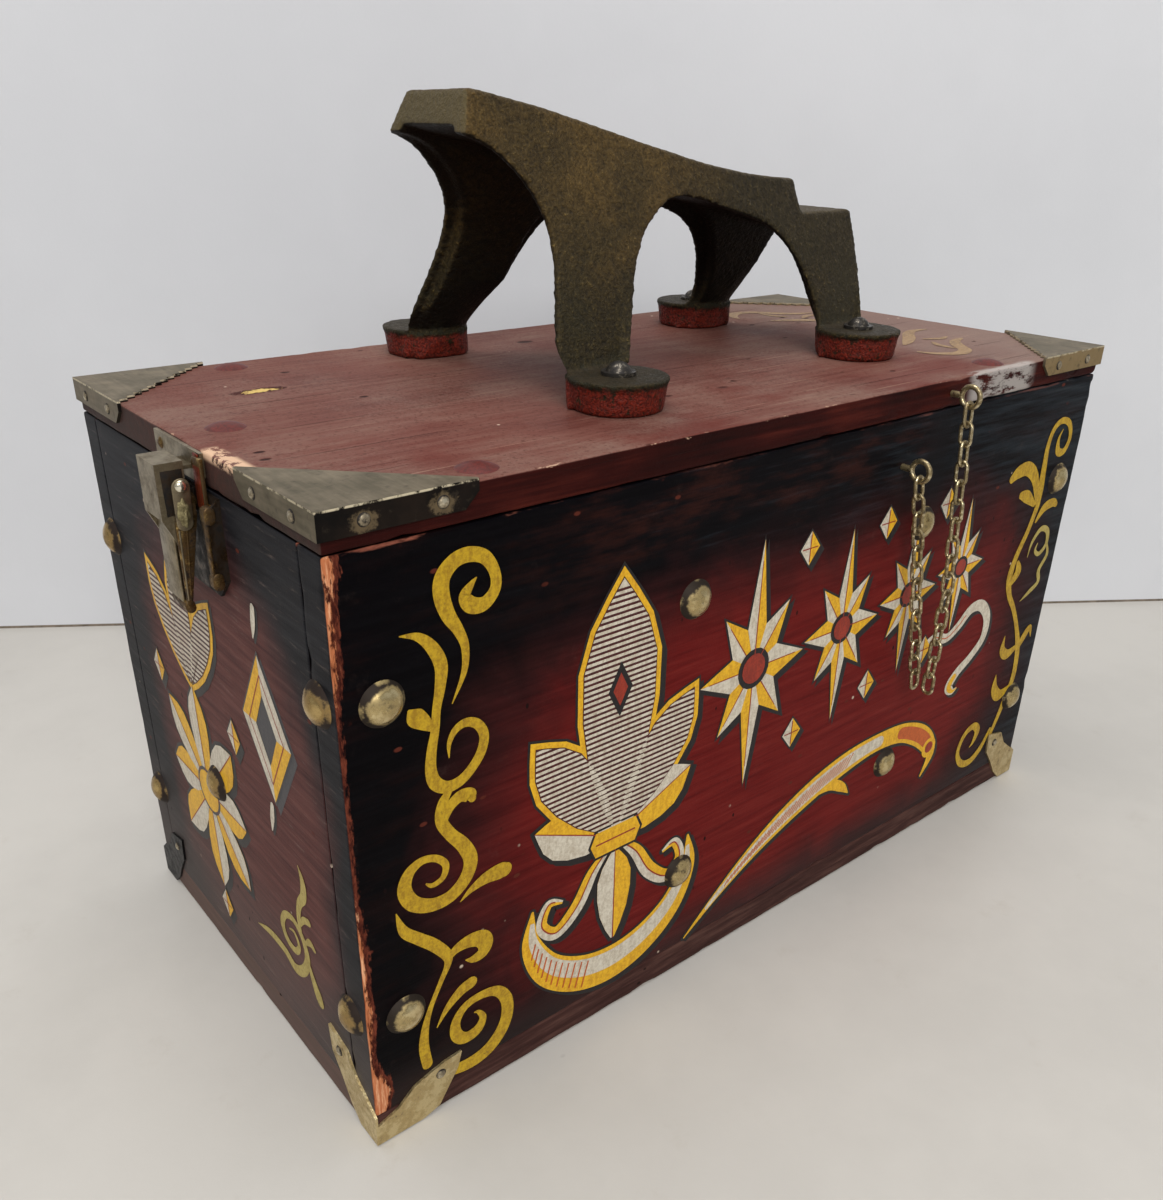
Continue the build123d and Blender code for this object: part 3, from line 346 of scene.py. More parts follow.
def wall_paint():
    """Black to slate at the rims and a deep red field, on the long front and the latch end alike."""
    look = Look("wall_paint")
    (x, y, z), (out_x, out_y, _) = look.xyz, look.out_xyz
    soft = look.grain(34, 4, 0.55, shift=1.7, warp=0.6)
    brushed = look.grain(2.2, 5, 0.66, (16, 16, 1), 5.0)
    hairs = look.grain(0.9, 3, 0.6, (26, 26, 1), 31.0)
    speckle = look.grain(0.55, 2, 0.6, shift=9.0)
    wave = soft * 0.44 - 0.22

    # how far a point lies from the middle of the red field, 1 at its rim
    far_x, far_z = abs((x - 6.0) / 146.0), abs((z - 78.0) / 74.0)
    front = (far_x ** 4.0 + far_z ** 3.0) ** 0.33 + wave
    red = look.shades(brushed, (0.25, (78, 13, 13)), (0.5, (99, 23, 21)), (0.8, (114, 36, 31)))
    plum = look.shades(brushed, (0.25, (32, 10, 11)), (0.75, (58, 22, 22)))
    night = look.shades(brushed + x * 0.0013, (0.25, (2, 1, 3)), (0.54, (7, 6, 9)), (0.72, (26, 31, 36)),
                        (0.9, (42, 48, 52)))
    look.color = look.blend(front.step(0.60, 0.98), red, plum)
    look.coat(front.step(0.84, 1.14), night)
    # brown strokes that show through, most of all under the lid left of the chain
    upper = z.step(146, 168) * x.step(66, 60) * x.step(-130, -70)
    through_black = (look.grain(9, 5, 0.7, (3.5, 1, 1), 4.0) + hairs * 0.25).step(0.58, 0.84)
    look.coat(through_black * (upper * 0.30 + 0.08), (68, 32, 24))
    look.coat(x.step(57, 61) * x.step(73, 68) * z.step(140, 158) * 0.7, (16, 14, 17))
    # paler and greyer towards the bottom of the front: a painted reflection of the pale floor
    look.coat(z.step(30, 12) * 0.42, (58, 46, 44))
    front_color = look.color

    # the latch end: dull plum in the middle, slate above and dust below
    side = (abs((y + 8.0) / 62.0) ** 3.0 + abs((z - 84.0) / 82.0) ** 3.0) ** 0.33 + wave
    dull = look.shades(brushed, (0.25, (62, 32, 32)), (0.55, (92, 54, 50)), (0.85, (114, 76, 69)))
    slate = look.shades(brushed, (0.25, (15, 15, 18)), (0.6, (36, 36, 39)), (0.85, (62, 60, 60)))
    look.color = look.blend(side.step(0.76, 1.12), dull, slate)
    look.coat(z.step(70, 16) * 0.55, (90, 80, 76))
    scuff = (look.grain(2.6, 5, 0.75, (7, 7, 1), 36) + hairs * 0.3).step(0.72, 0.90)
    look.coat(scuff * 0.4, (124, 106, 98))
    look.color = look.blend(out_x.step(-0.35, -0.75), front_color, look.color)

    # dust and hand marks, then small chips
    look.dust((120, 98, 90), 9, 2.0, 0.60, 0.84, 0.10)
    look.coat(look.flecks(11.0, 0.075, 6.3, 20.0, 0.53), (186, 168, 150))
    look.coat(look.flecks(8.0, 0.10, 16.3, 24.0, 0.51, (1.8, 1.8, 1)), (84, 38, 28))
    look.coat(look.flecks(6.0, 0.11, 23.0, 30.0, 0.52, (1.0, 1.0, 1.6)), (24, 10, 10))
    # a patchy rosy line along the front's top edge, near the latch end
    ragged = look.grain(6, 5, 0.75, (6, 6, 1), 12)
    on_front = out_y.step(-0.25, -0.6)
    top_edge = (z + ragged * 2.4).step(181.7, 182.3) * ragged.step(0.47, 0.58) * (x.step(-70, -120) * 0.6 + 0.25)
    look.coat(top_edge * on_front, (150, 88, 70))
    # raw wood where the front board's upright end is split
    torn = look.grain(7.0, 4, 0.65, (1, 1, 3.0), 15.0)
    fine = look.grain(1.0, 4, 0.7, (1.0, 1.0, 3.5), 18.0)
    splits = look.shades(z / 182.0, *((place, (share, share, share, 1)) for place, share in (
        (0.02, 0.62), (0.10, 0.95), (0.17, 0.22), (0.30, 0.46), (0.42, 0.20), (0.50, 0.0), (0.78, 0.02), (0.86, 0.46),
        (0.98, 0.66))))
    past_split = x + HALF_LENGTH - (splits * (torn * 16.0 - 3.6) + (fine * 4.4 - 2.3))
    front_only = on_front * y.step(-80.6, -81.2)
    undercoat, bare = past_split.step(1.6, 0.7) * front_only, past_split.step(-0.2, -0.9) * front_only
    look.coat(undercoat, look.shades(fine, (0.4, (58, 24, 18)), (0.65, (112, 56, 40))))
    look.coat(bare, look.wood((1 / 0.83, 1 / 0.83, 1 / 0.083), 3.1, (92, 42, 26), (182, 110, 72), (226, 170, 130))[0])
    bare_inside(look)
    look.relief((brushed, 0.10), (hairs, 0.05), (speckle, 0.04), (1.0 - bare, 0.25))
    return look.finish(look.most(undercoat, bare) * 0.35 + 0.46, specular=0.05)


def plinth_paint():
    """The edges of the bottom board: brown-plum, dusty and rubbed, paler at the latch end."""
    look = Look("plinth_paint")
    z, (out_x, _, out_z) = look.xyz[2], look.out_xyz
    streak = look.grain(2.2, 5, 0.65, (12, 12, 1), 2.0)
    look.color = look.shades(streak, (0.25, (40, 22, 20)), (0.5, (64, 40, 36)), (0.75, (94, 66, 58)))
    look.coat(out_x.step(-0.4, -0.8) * 0.6, (112, 94, 86))
    look.coat((z + look.grain(6, 4, 0.7, shift=7) * 3.0).step(2.6, 1.2) * 0.6, (104, 86, 76))
    look.coat(look.flecks(7.0, 0.11, 5.0, 22.0, 0.50, (1.5, 1.5, 1)), (28, 14, 12))
    raw = look.wood((1 / 0.045, 1 / 0.62, 1 / 0.62), 1.0, (84, 60, 42), (116, 86, 62), (146, 114, 84))
    look.coat(out_z.step(-0.6, -0.9), raw[0])
    bare_inside(look, out_z.step(0.5, 0.8))
    look.relief((streak, 0.12))
    return look.finish(0.62, specular=0.07)


def divider_wood():
    """The unpainted boards inside the box."""
    look = Look("bare_divider")
    look.color, height = look.wood((1.5, 24, 1.5), 4.0, (92, 64, 42), (132, 98, 66), (164, 128, 92))
    look.dust((52, 36, 28), 24, 3.0, 0.50, 0.70, 0.6)
    look.relief((height, 0.12))
    return look.finish(0.78, specular=0.3)


def lid_paint():
    """Dusty dull red on the lid, rubbed along its length and chipped at the rims."""
    look = Look("lid_paint")
    (x, y, z), (out_x, _, out_z) = look.xyz, look.out_xyz
    brushed = look.grain(2.4, 5, 0.62, (18, 1, 1), 2.0)
    cloud = look.grain(44, 3, 0.5, shift=6.0, warp=0.3)
    fine = look.grain(0.8, 3, 0.75, shift=3.0)
    look.color = look.shades(cloud * 0.60 + brushed * 0.40,
                             (0.34, (90, 49, 42)), (0.50, (110, 70, 61)), (0.68, (124, 92, 81)))
    look.coat((look.grain(40, 4, 0.6, shift=9) * 0.7 + fine * 0.42).step(0.52, 0.72) * 0.38, (134, 114, 102))
    look.dust((70, 34, 28), (1.4, 1.4, 1), 44.0, 0.52, 0.68, 0.6)
    rub = look.grain(30, 4, 0.6, (2.2, 1, 1), 14).step(0.50, 0.66) * (y.step(10, -70) * 0.34 + 0.14)
    look.coat(rub, (96, 36, 29))
    # a painted sheen of light, paler towards the hinge end of the lid
    look.coat((x + look.grain(24, 3, 0.6, shift=50) * 50.0).step(112, 150) * 0.5, (140, 122, 112))
    scratch, deep = (look.grain(size, 2, 0.5, (long, 0.8, 1), shift, 0.15).step(low, low + 0.06)
                     for size, long, shift, low in ((1.0, 60, 21, 0.70), (1.2, 70, 33, 0.69)))
    look.coat(scratch * 0.55, (168, 138, 118))
    look.coat(deep * 0.6, (58, 26, 22))
    chip = look.most(*(look.flecks(*sizes, (1.7, 1, 1))
                       for sizes in ((10.0, 0.12, 3.3, 26.0, 0.51), (26.0, 0.10, 9.7, 34.0, 0.46))))
    look.coat(chip, (48, 20, 16))
    look.coat(look.flecks(13.0, 0.06, 7.7, 30.0, 0.50), (206, 184, 164))
    # one torn place shows yellow wood in a dark rim
    tear_x, tear_y = (x + 125.0) / 8.0, (y - 35.0) / 2.6
    tear = tear_x * tear_x + tear_y * tear_y + (look.grain(2.6, 4, 0.8, shift=61) * 4.6 - 2.3)
    look.coat(tear.step(1.5, 1.2), (60, 20, 14))
    look.coat(tear.step(0.62, 0.40), (206, 176, 104))
    # upright edges of the lid are almost black, with a worn line at the top
    edge_color = look.shades(brushed * 0.5 + cloud * 0.5, (0.36, (24, 4, 3)), (0.52, (46, 10, 7)), (0.68, (78, 28, 20)))
    edge_color = look.blend(out_x.step(-0.4, -0.8) * 0.40, edge_color, (84, 72, 66))
    look.coat(out_z.step(0.75, 0.35), edge_color)
    rim = look.most(look.most(HALF_LENGTH - abs(x), HALF_WIDTH - abs(y), operation="MINIMUM"), LID_TOP - z)
    torn = look.grain(5.0, 5, 0.75, (2.6, 1, 1), 25)
    worn = (rim - (torn * 9.0 - 5.7)).step(0.6, 0.2)
    look.coat(worn * 0.7, look.shades(torn, (0.45, (128, 74, 60)), (0.66, (196, 160, 134))))
    latch_side = x.step(-159.5, -161.5) * y.step(-17, -20) * y.step(-45, -41) * z.step(188.5, 190.0)
    look.coat(latch_side * look.grain(6.0, 5, 0.8, shift=71).step(0.45, 0.50), (208, 172, 142))
    # a smear of white paint on the front rim, near the hinge end
    smear = x.step(76, 82) * x.step(121, 114) * y.step(-77.5, -80.5)
    look.coat(smear * look.grain(3.5, 5, 0.75, (3, 1, 1), 41).step(0.40, 0.52) * 0.68, (182, 176, 170))
    bare_inside(look, out_z.step(-0.5, -0.8))
    look.relief((brushed, 0.08), (fine, 0.10), (1.0 - look.most(chip, deep), 0.25))
    return look.finish(cloud * 0.3 + 0.45, specular=0.07)


def sign_paint(name, base, deep, wear, seed):
    """Enamel laid on with a brush: mottled, a little translucent, worn to the ground in specks."""
    look = Look(name)
    look.color, height = look.use("brushed_enamel", Shift=spread(seed), Base=base, Deep=deep, Ground=(58, 34, 26),
                                  Wear=wear)
    look.relief((height, 0.05))
    return look.finish(0.46, specular=0.30)


def metal(name, bright, dull, dark, tarnish, seed, polish, size, bump=0.05, rim=0.0):
    """Tarnished metal in three colours. Its patches are size millimetres, its bumps bump millimetres deep."""
    look = Look(name)
    look.color, roughness, metallic, height = look.use(
        "old_metal", Scale=scales(size), Shift=spread(seed), Facing=look.facing, Bright=bright, Dull=dull, Dark=dark,
        Tarnish=tarnish, Polish=polish, Rim=rim)
    look.relief((height, bump))
    return look.finish(roughness, metallic)


def bracket_look():
    """Thin khaki sheet on the lid's corners: its bends rubbed bright, the near front flange nearly black."""
    look = Look("bracket_sheet")
    (x, _, z), (_, out_y, out_z) = look.xyz, look.out_xyz
    brushed = look.grain(1.6, 4, 0.6, (1, 9, 1), 2.0)
    cloud = look.grain(13, 4, 0.6, shift=4.0)
    look.color = look.shades(cloud * 0.65 + brushed * 0.35,
                             (0.36, (86, 79, 62)), (0.52, (112, 102, 84)), (0.68, (136, 124, 103)))
    front_face = out_y.step(-0.4, -0.8)
    near = front_face * x.step(0, -20)
    look.coat(near, look.shades(cloud, (0.4, (9, 6, 4)), (0.62, (27, 19, 13))))
    # worn rings round the near flange's two nails
    for nail_x in (10.5 - HALF_LENGTH, 31.0 - HALF_LENGTH):
        away_x, away_z = x - nail_x, z - (LID_TOP - 3.3)
        away = look.math("SQRT", away_x * away_x + away_z * away_z * 1.9)
        ring = (away * 0.14 + look.grain(2.6, 5, 0.75, shift=nail_x)).step(1.06, 0.84)
        look.coat(ring * near * 0.8, (102, 87, 64))
    look.coat(front_face * x.step(20, 40) * 0.7, (150, 126, 84))
    bend = z.step(LID_TOP + 0.35, LID_TOP + 0.6) * out_z.step(0.96, 0.70)
    look.coat(bend * look.grain(3.0, 4, 0.7, shift=12).step(0.38, 0.52), (196, 184, 156))
    look.dust((58, 50, 40), 3.2, 22.0, 0.55, 0.70, 0.5)
    look.relief((cloud, 0.12), (brushed, 0.04))
    return look.finish(near * 0.16 + 0.52, near * -0.50 + 0.55, specular=0.12)


def casting_look():
    """The footrest: dark bronze over a coarse sand-cast skin, with a golden painted highlight on its upper toe end,
    painted light on what faces up and on the toe end's top facet, painted shade on what faces down, and red round the
    pads.
    """
    look = Look("sand_casting")
    (x, _, z), (out_x, _, out_z) = look.xyz, look.out_xyz
    coarse = look.grain(1.8, 3, 0.6, shift=1.0)
    fine = look.grain(0.8, 3, 0.65, shift=5.0)
    cloud = look.grain(22, 4, 0.55, shift=8.0)
    height = coarse * 0.45 + fine * 0.55
    look.color = look.shades(height, (0.38, (28, 22, 10)), (0.50, (45, 37, 19)), (0.61, (62, 52, 28)),
                             (0.74, (140, 118, 70)))
    # a golden painted highlight on the upper toe end, where the light falls
    gold_highlight = (cloud.step(0.40, 0.64) * 0.5 + 0.36) * z.step(214, 240) * x.step(40, -10)
    look.coat(gold_highlight * 0.7, look.shades(height, (0.38, (64, 48, 18)), (0.62, (112, 87, 44))))
    look.coat(cloud.step(0.56, 0.42) * z.step(250, 215) * 0.25, (44, 42, 26))
    top = out_z.step(0.6, 0.9)
    # painted light on the faces that look up
    look.coat(top * 0.4, (90, 76, 50))
    # painted light on the upper facet of the toe end, which faces the window
    look.coat(out_x.step(-0.5, -0.85) * z.step(258, 264) * 0.75, (92, 82, 56))
    # painted shade on all that faces down or inwards
    look.coat(out_z.step(-0.04, -0.45) * 0.88, (10, 8, 5))
    # red paint, grime and a dark lip round the pads
    above = z - LID_TOP
    ragged = above + look.grain(3.4, 4, 0.7, shift=12) * 5.0
    red = ragged.step(11.2, 9.4) * out_z.step(0.55, 0.25) * look.grain(2.6, 4, 0.7, shift=16).step(0.34, 0.44)
    look.coat(red, look.shades(fine, (0.35, (62, 16, 10)), (0.7, (128, 40, 24))))
    grime = above.step(17, 8) * look.grain(5, 4, 0.7, shift=18).step(0.44, 0.60)
    look.coat(grime * (0.65 - red * 0.55), (40, 40, 29))
    look.coat(top * above.step(14, 12) * 0.6, (36, 30, 22))
    shine = height.step(0.44, 0.70)
    look.relief((coarse, 0.70), (fine, 0.50))
    return look.finish(shine * -0.24 + 0.60, (shine * 0.35 + 0.30) * (1.0 - red), specular=0.2)


def plain_look(name, color, roughness, cloud_size, amount, specks=False):
    """Floor and wall: nearly even, with faint clouds and, on the floor, a few dark specks."""
    look = Look(name)
    look.color = rgb(color)
    look.dust((*(part * (1 - amount) for part in look.color[:3]), 1), cloud_size, 2.0, 0.35, 0.7, 1.0)
    if specks:
        look.dust((150, 138, 120), 26, 14.0, 0.60, 0.80, 0.2)
        look.coat(look.flecks(34.0, 0.030, 4.3, 60.0, 0.52, (1.4, 1, 1)) * 0.8, (58, 48, 40))
    look.relief((look.grain(2.2, 4, 0.7, shift=1), 0.05))
    look.finish(roughness, specular=0.3)
    # seen from its back the sheet is clear, so that it hides nothing
    choice = look.made("ShaderNodeMixShader", {
        0: look.add("ShaderNodeNewGeometry").outputs["Backfacing"], 1: look.shader.outputs[0],
        2: look.add("ShaderNodeBsdfTransparent").outputs[0]})
    look.join(choice, look.output.inputs[0])
    return look.material


def make_piece(name, shape, material, body, smooth=True):
    """Turns a bmesh in millimetres into a piece that rides on a body, or into part of the stage."""
    bmesh.ops.scale(shape, vec=(0.001, 0.001, 0.001), verts=shape.verts)
    data = bpy.data.meshes.new(name)
    shape.to_mesh(data)
    shape.free()
    piece = bpy.data.objects.new(name, data)
    bpy.context.collection.objects.link(piece)
    data.materials.append(material)
    data.polygons.foreach_set("use_smooth", [smooth] * len(data.polygons))
    if body:
        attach(piece, body)
    return piece


def dress(nodes, material, bevel=0.0):
    """Gives CAD nodes their material, and a fine bevel where it asks for one."""
    for node in nodes.split():
        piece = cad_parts[node]
        piece.data.materials.clear()
        piece.data.materials.append(material)
        if bevel:
            soft = piece.modifiers.new("edge", "BEVEL")
            soft.width = bevel / 1000
            soft.segments = 2
            soft.limit_method = "ANGLE"
            soft.angle_limit = math.radians(35)
            soft.harden_normals = False


def new_vertices(made):
    return [item for item in made["geom"] if isinstance(item, bmesh.types.BMVert)]


# ---------------------------------------------------------------------------------------- boards
RIM_MARKS = (0, 0.4, 0.9, 1.5, 2.2, 3.2, 4.6)
MARK_SPACING = 4.0
WEAR_SIZE, DENT_SIZE = 9, 5


def grid_marks(low, high):
    """Positions along one side of a board, close together near its ends."""
    near = [mark for mark in RIM_MARKS if mark < (high - low) / 2 - 0.3]
    inner_low, inner_high = low + near[-1], high - near[-1]
    count = max(1, round((inner_high - inner_low) / MARK_SPACING))
    middle = [inner_low + (inner_high - inner_low) * step / count for step in range(1, count)]
    return [low + mark for mark in near] + middle + [high - mark for mark in reversed(near)]


def worn_board(node, low, high, material, rounding, dents, seed):
    """A board whose edges are rubbed round by a varying amount, with a few dents."""
    board = bmesh.new()
    bmesh.ops.create_cube(board, size=1.0)
    marks = [grid_marks(a, b) for a, b in zip(low, high)]
    for axis in range(3):
        along = [edge for edge in board.edges if abs(edge.verts[0].co[axis] - edge.verts[1].co[axis]) > 0.5]
        bmesh.ops.subdivide_edges(board, edges=along, cuts=len(marks[axis]) - 2, use_grid_fill=True)
    for vertex in board.verts:
        spot = Vector([row[round((c + 0.5) * (len(row) - 1))] for c, row in zip(vertex.co, marks)])
        rough = noise.noise(spot / WEAR_SIZE + Vector((seed, 0, 0)))
        dent = noise.noise(spot / DENT_SIZE + Vector((0, seed, 3)))
        radius = rounding * (1 + 0.45 * rough) + dents * max(0.0, dent - 0.28) * 3
        core = Vector([min(max(c, a + radius), b - radius) for c, a, b in zip(spot, low, high)])
        out = spot - core
        vertex.co = core + out.normalized() * radius if out.length > 1e-6 else spot
    return make_piece(node + "_worn", board, material, "lid" if node == "lid_board" else "box")


def build_boards(paint, plinth, bare, lid):
    length, width, low, high = HALF_LENGTH, HALF_WIDTH, FLOOR_BOARD, SEAM
    boards = (
        # node, low corner, high corner, paint, rounding of the edges, depth of the dents
        ("bottom_board", (-length, -width, 0), (length, width, low), plinth, 1.0, 1.0),
        ("front_board", (-length, -width, low), (length, -INNER_WIDTH, high), paint, 0.8, 1.8),
        ("back_board", (-length, INNER_WIDTH, low), (length, width, high), paint, 0.8, 1.2),
        ("latch_end_board", (-length, -INNER_WIDTH, low), (-INNER_LENGTH, INNER_WIDTH, high), paint, 0.35, 0.0),
        ("hinge_end_board", (INNER_LENGTH, -INNER_WIDTH, low), (length, INNER_WIDTH, high), paint, 0.35, 0.0),
        ("lid_board", (-length, -width, LID_LOW), (length, width, LID_TOP), lid, 0.8, 1.6),
    )
    for number, (node, *form) in enumerate(boards):
        board = worn_board(node, *form, 11.3 * number + 2)
        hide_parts(node)
    dress("latch_side_divider hinge_side_divider", bare)


# ---------------------------------------------------------------------------------- painted work
SHADE = (1.8, -1.8)


def through(points, steps=8):
    """A smooth line through points given as (a, b, width)."""
    line = []
    last = len(points) - 1
    for index in range(last):
        near = [points[min(max(index + step, 0), last)] for step in (-1, 0, 1, 2)]
        for t in (step / steps for step in range(steps)):
            line.append(tuple(0.5 * (2 * b + (c - a) * t + (2 * a - 5 * b + 4 * c - d) * t * t
                                     + (3 * b - a - 3 * c + d) * t ** 3) for a, b, c, d in zip(*near)))
    line.append(tuple(points[-1]))
    return [(a, b, max(w, 0.05)) for a, b, w in line]


def fill_outline(shape, points):
    """A flat face inside an outline, cut in triangles so that hollow outlines fill rightly."""
    face = shape.faces.new([shape.verts.new(point) for point in points])
    face.normal_update()
    bmesh.ops.triangulate(shape, faces=[face])


def swell(outline, amount):
    """The outline grown outwards by about amount."""
    after_all = outline[1:] + outline[:1]
    area = sum(a * d - c * b for (a, b), (c, d) in zip(outline, after_all))
    grown = []
    for (pa, pb), (a, b), (qa, qb) in zip(outline[-1:] + outline[:-1], outline, after_all):
        before, after = Vector((a - pa, b - pb)).normalized(), Vector((qa - a, qb - b)).normalized()
        straight = Vector((before.y, -before.x))
        out = Vector((before.y + after.y, -before.x - after.x))
        out = (straight if out.length < 1e-6 else out).normalized()
        reach, bend = math.copysign(amount, area * amount), max(0.45, abs(out.dot(straight)))
        grown.append((a + out.x * reach / bend, b + out.y * reach / bend))
    return grown


class Painting:
    """Thin layers of enamel on one flat face, drawn in its own a and b. Each layer and colour is one mesh."""
    heights = {"shade": 0.05, "rim": 0.10, "body": 0.15, "light": 0.20, "line": 0.25}
    # shapes in one layer take turns at heights this far apart, so that none flickers through another
    turn_step, turn_count = 0.004, 12

    def __init__(self, name, place, body):
        self.name, self.place, self.body = name, place, body
        self.sheets, self.turns = {}, {}

    def sheet(self, layer, color):
        """The mesh of one colour in one layer, and the height at which its next shape lies."""
        key = (layer, color)
        if key not in self.sheets:
            self.sheets[key] = bmesh.new()
        self.turns[layer] = (self.turns.get(layer, -1) + 1) % self.turn_count
        return self.sheets[key], self.heights[layer] + self.turn_step * self.turns[layer]

    def band(self, layer, color, line, low=-0.5, high=0.5, grow=0.0, shift=(0, 0)):
        """A ribbon drawn out along a line, from low to high across its width."""
        sheet, height = self.sheet(layer, color)
        rungs = []
        for index, (a, b, width) in enumerate(line):
            ahead, behind = line[min(index + 1, len(line) - 1)], line[max(index - 1, 0)]
            along = Vector((ahead[0] - behind[0], ahead[1] - behind[1], 0))
            side = Vector((-along.y, along.x, 0)).normalized()
            middle = Vector((a + shift[0], b + shift[1], height))
            rungs.append([middle + side * (share * width + math.copysign(grow, share)) for share in (low, high)])
        first = pair = [sheet.verts.new(spot) for spot in rungs[0]]
        sheet.edges.new(pair)
        for rung in rungs[1:]:
            made = new_vertices(bmesh.ops.extrude_edge_only(sheet, edges=[sheet.edges.get(pair)]))
            pair = sorted(made, key=lambda vertex: (vertex.co - pair[0].co).length)
            for vertex, spot in zip(pair, rung):
                vertex.co = spot
        if low == -0.5 and high == 0.5:
            for (left, right), turn in ((first, -1), (pair, 1)):
                # a half round cap beyond each end
                middle, arm = (left.co + right.co) / 2, (right.co - left.co) / 2
                if arm.length > 0.35:
                    arc = [Matrix.Rotation(-turn * math.pi * k / 8, 3, "Z") @ arm for k in range(1, 8)]
                    sheet.faces.new([right] + [sheet.verts.new(middle + spoke) for spoke in arc] + [left])

    def under(self, line, grow, shift=SHADE, rim=0.0):
        """The black drop shade of a stroke, and its black rim where one is asked for."""
        self.band("shade", "black", line, grow=grow, shift=shift)
        if rim:
            self.band("shade", "black", line, grow=rim)

    def dot(self, layer, color, middle, radius, sides=18):
        sheet, height = self.sheet(layer, color)
        bmesh.ops.create_circle(sheet, cap_ends=True, segments=sides, radius=radius,
                                matrix=Matrix.Translation((*middle, height)))

    def shape(self, layer, color, outline, shift=(0, 0)):
        sheet, height = self.sheet(layer, color)
        fill_outline(sheet, [(a + shift[0], b + shift[1], height) for a, b in outline])

    def backing(self, outline, shade, rim, shift=SHADE, layer="rim", color="black"):
        """A drop shade and a rim for a shape that is painted over them."""
        self.shape("shade", color, swell(outline, shade), shift)
        self.shape(layer, color, swell(outline, rim))

    def stripes(self, layer, color, outline, pitch, thick):
        """Level lines cut from a shape."""
        sheet, height = self.sheet(layer, color)
        cut = bmesh.new()
        fill_outline(cut, [(a, b, height) for a, b in outline])
        bottom, top = min(b for a, b in outline), max(b for a, b in outline)
        for k in range(int((top - bottom) / pitch)):
            for side in (-1, 1):
                level = bottom + pitch * (k + 0.5) + side * thick / 2
                bmesh.ops.bisect_plane(cut, geom=cut.verts[:] + cut.edges[:] + cut.faces[:], plane_co=(0, level, 0),
                                       plane_no=(0, 1, 0))
        between = [face for face in cut.faces
                   if abs((face.calc_center_bounds().y - bottom) % pitch - pitch / 2) > thick / 2]
        bmesh.ops.delete(cut, geom=between, context="FACES")
        held = bpy.data.meshes.new("cut")
        cut.to_mesh(held)
        cut.free()
        sheet.from_mesh(held)
        bpy.data.meshes.remove(held)

    def lay(self, colors):
        for (layer, color), sheet in self.sheets.items():
            sheet.normal_update()
            bmesh.ops.reverse_faces(sheet, faces=[face for face in sheet.faces if face.normal.z < 0])
            bmesh.ops.transform(sheet, matrix=self.place, verts=sheet.verts)
            make_piece("_".join((self.name, layer, color)), sheet, colors[color],
                       self.body, smooth=False)


def compass_star(painting, a, b, half_width, half_height):
    """An eight-pointed star, each point halved in cream and yellow, with a red heart."""
    tips = []
    for k in range(16):
        wide, tall = ((0, 1), (0.46, 0.36), (0.86, 0.66), (0.46, 0.36))[k % 4]
        if k % 4 == 0:
            wide = tall = (half_height, half_width)[k // 4 % 2]
        else:
            wide, tall = wide * half_width, tall * half_height
        angle = math.pi / 2 - math.pi * k / 8
        tips.append((a + wide * math.cos(angle), b + tall * math.sin(angle)))
    painting.backing(tips, 0.7, 0.8)
    for k in range(0, 16, 2):
        tip, before, after = tips[k], tips[k - 1], tips[(k + 1) % 16]
        painting.shape("body", "cream", [(a, b), before, tip])
        painting.shape("body", "yellow", [(a, b), tip, after])
        painting.band("light", "red", [(a, b, 0.5), (a + (tip[0] - a) * 0.84, b + (tip[1] - b) * 0.84, 0.3)])
    painting.dot("light", "black", (a, b), 0.30 * half_width)
    painting.dot("line", "red", (a, b), 0.22 * half_width)


def petal(painting, base, angle, length, width, striped=False, shade=SHADE):
    """A pointed leaf from base outwards, halved in cream and yellow or striped in cream."""
    start, turn = Vector(base), Vector((math.cos(math.radians(angle)), math.sin(math.radians(angle))))
    side = Vector((-turn.y, turn.x))
    share = ((0, 0.05), (0.12, 0.22), (0.30, 0.40), (0.50, 0.49), (0.68, 0.49), (0.82, 0.36), (0.92, 0.17), (1, 0))
    left = [tuple(start + turn * length * t + side * width * w) for t, w in share]
    outline = left + [tuple(start + turn * length * t - side * width * w) for t, w in reversed(share[:-1])]
    painting.backing(outline, 1.0, 1.3, shade, "shade")
    if striped:
        painting.shape("body", "yellow", swell(outline, 0.5))
        painting.shape("light", "maroon", swell(outline, -1.3))
        painting.stripes("line", "cream", swell(outline, -1.6), 1.75, 0.95)
    else:
        painting.shape("body", "yellow", outline)
        painting.shape("light", "cream", left + [tuple(base)])
        painting.band("line", "red", [(*base, 0.5), (*(start + turn * length), 0.3)])


def lozenge_outline(a, b, half_a, half_b):
    return [(a, b + half_b), (a + half_a, b), (a, b - half_b), (a - half_a, b)]


def lozenge(painting, a, b, half_a, half_b):
    outline = lozenge_outline(a, b, half_a, half_b)
    painting.backing(outline, 0.6, 0.6)
    painting.shape("body", "cream", outline)
    painting.shape("light", "yellow", outline[:3])
    for arm_a, arm_b in ((half_a * 0.8, 0), (0, half_b * 0.8)):
        painting.band("line", "red", [(a - arm_a, b - arm_b, 0.4), (a + arm_a, b + arm_b, 0.4)])


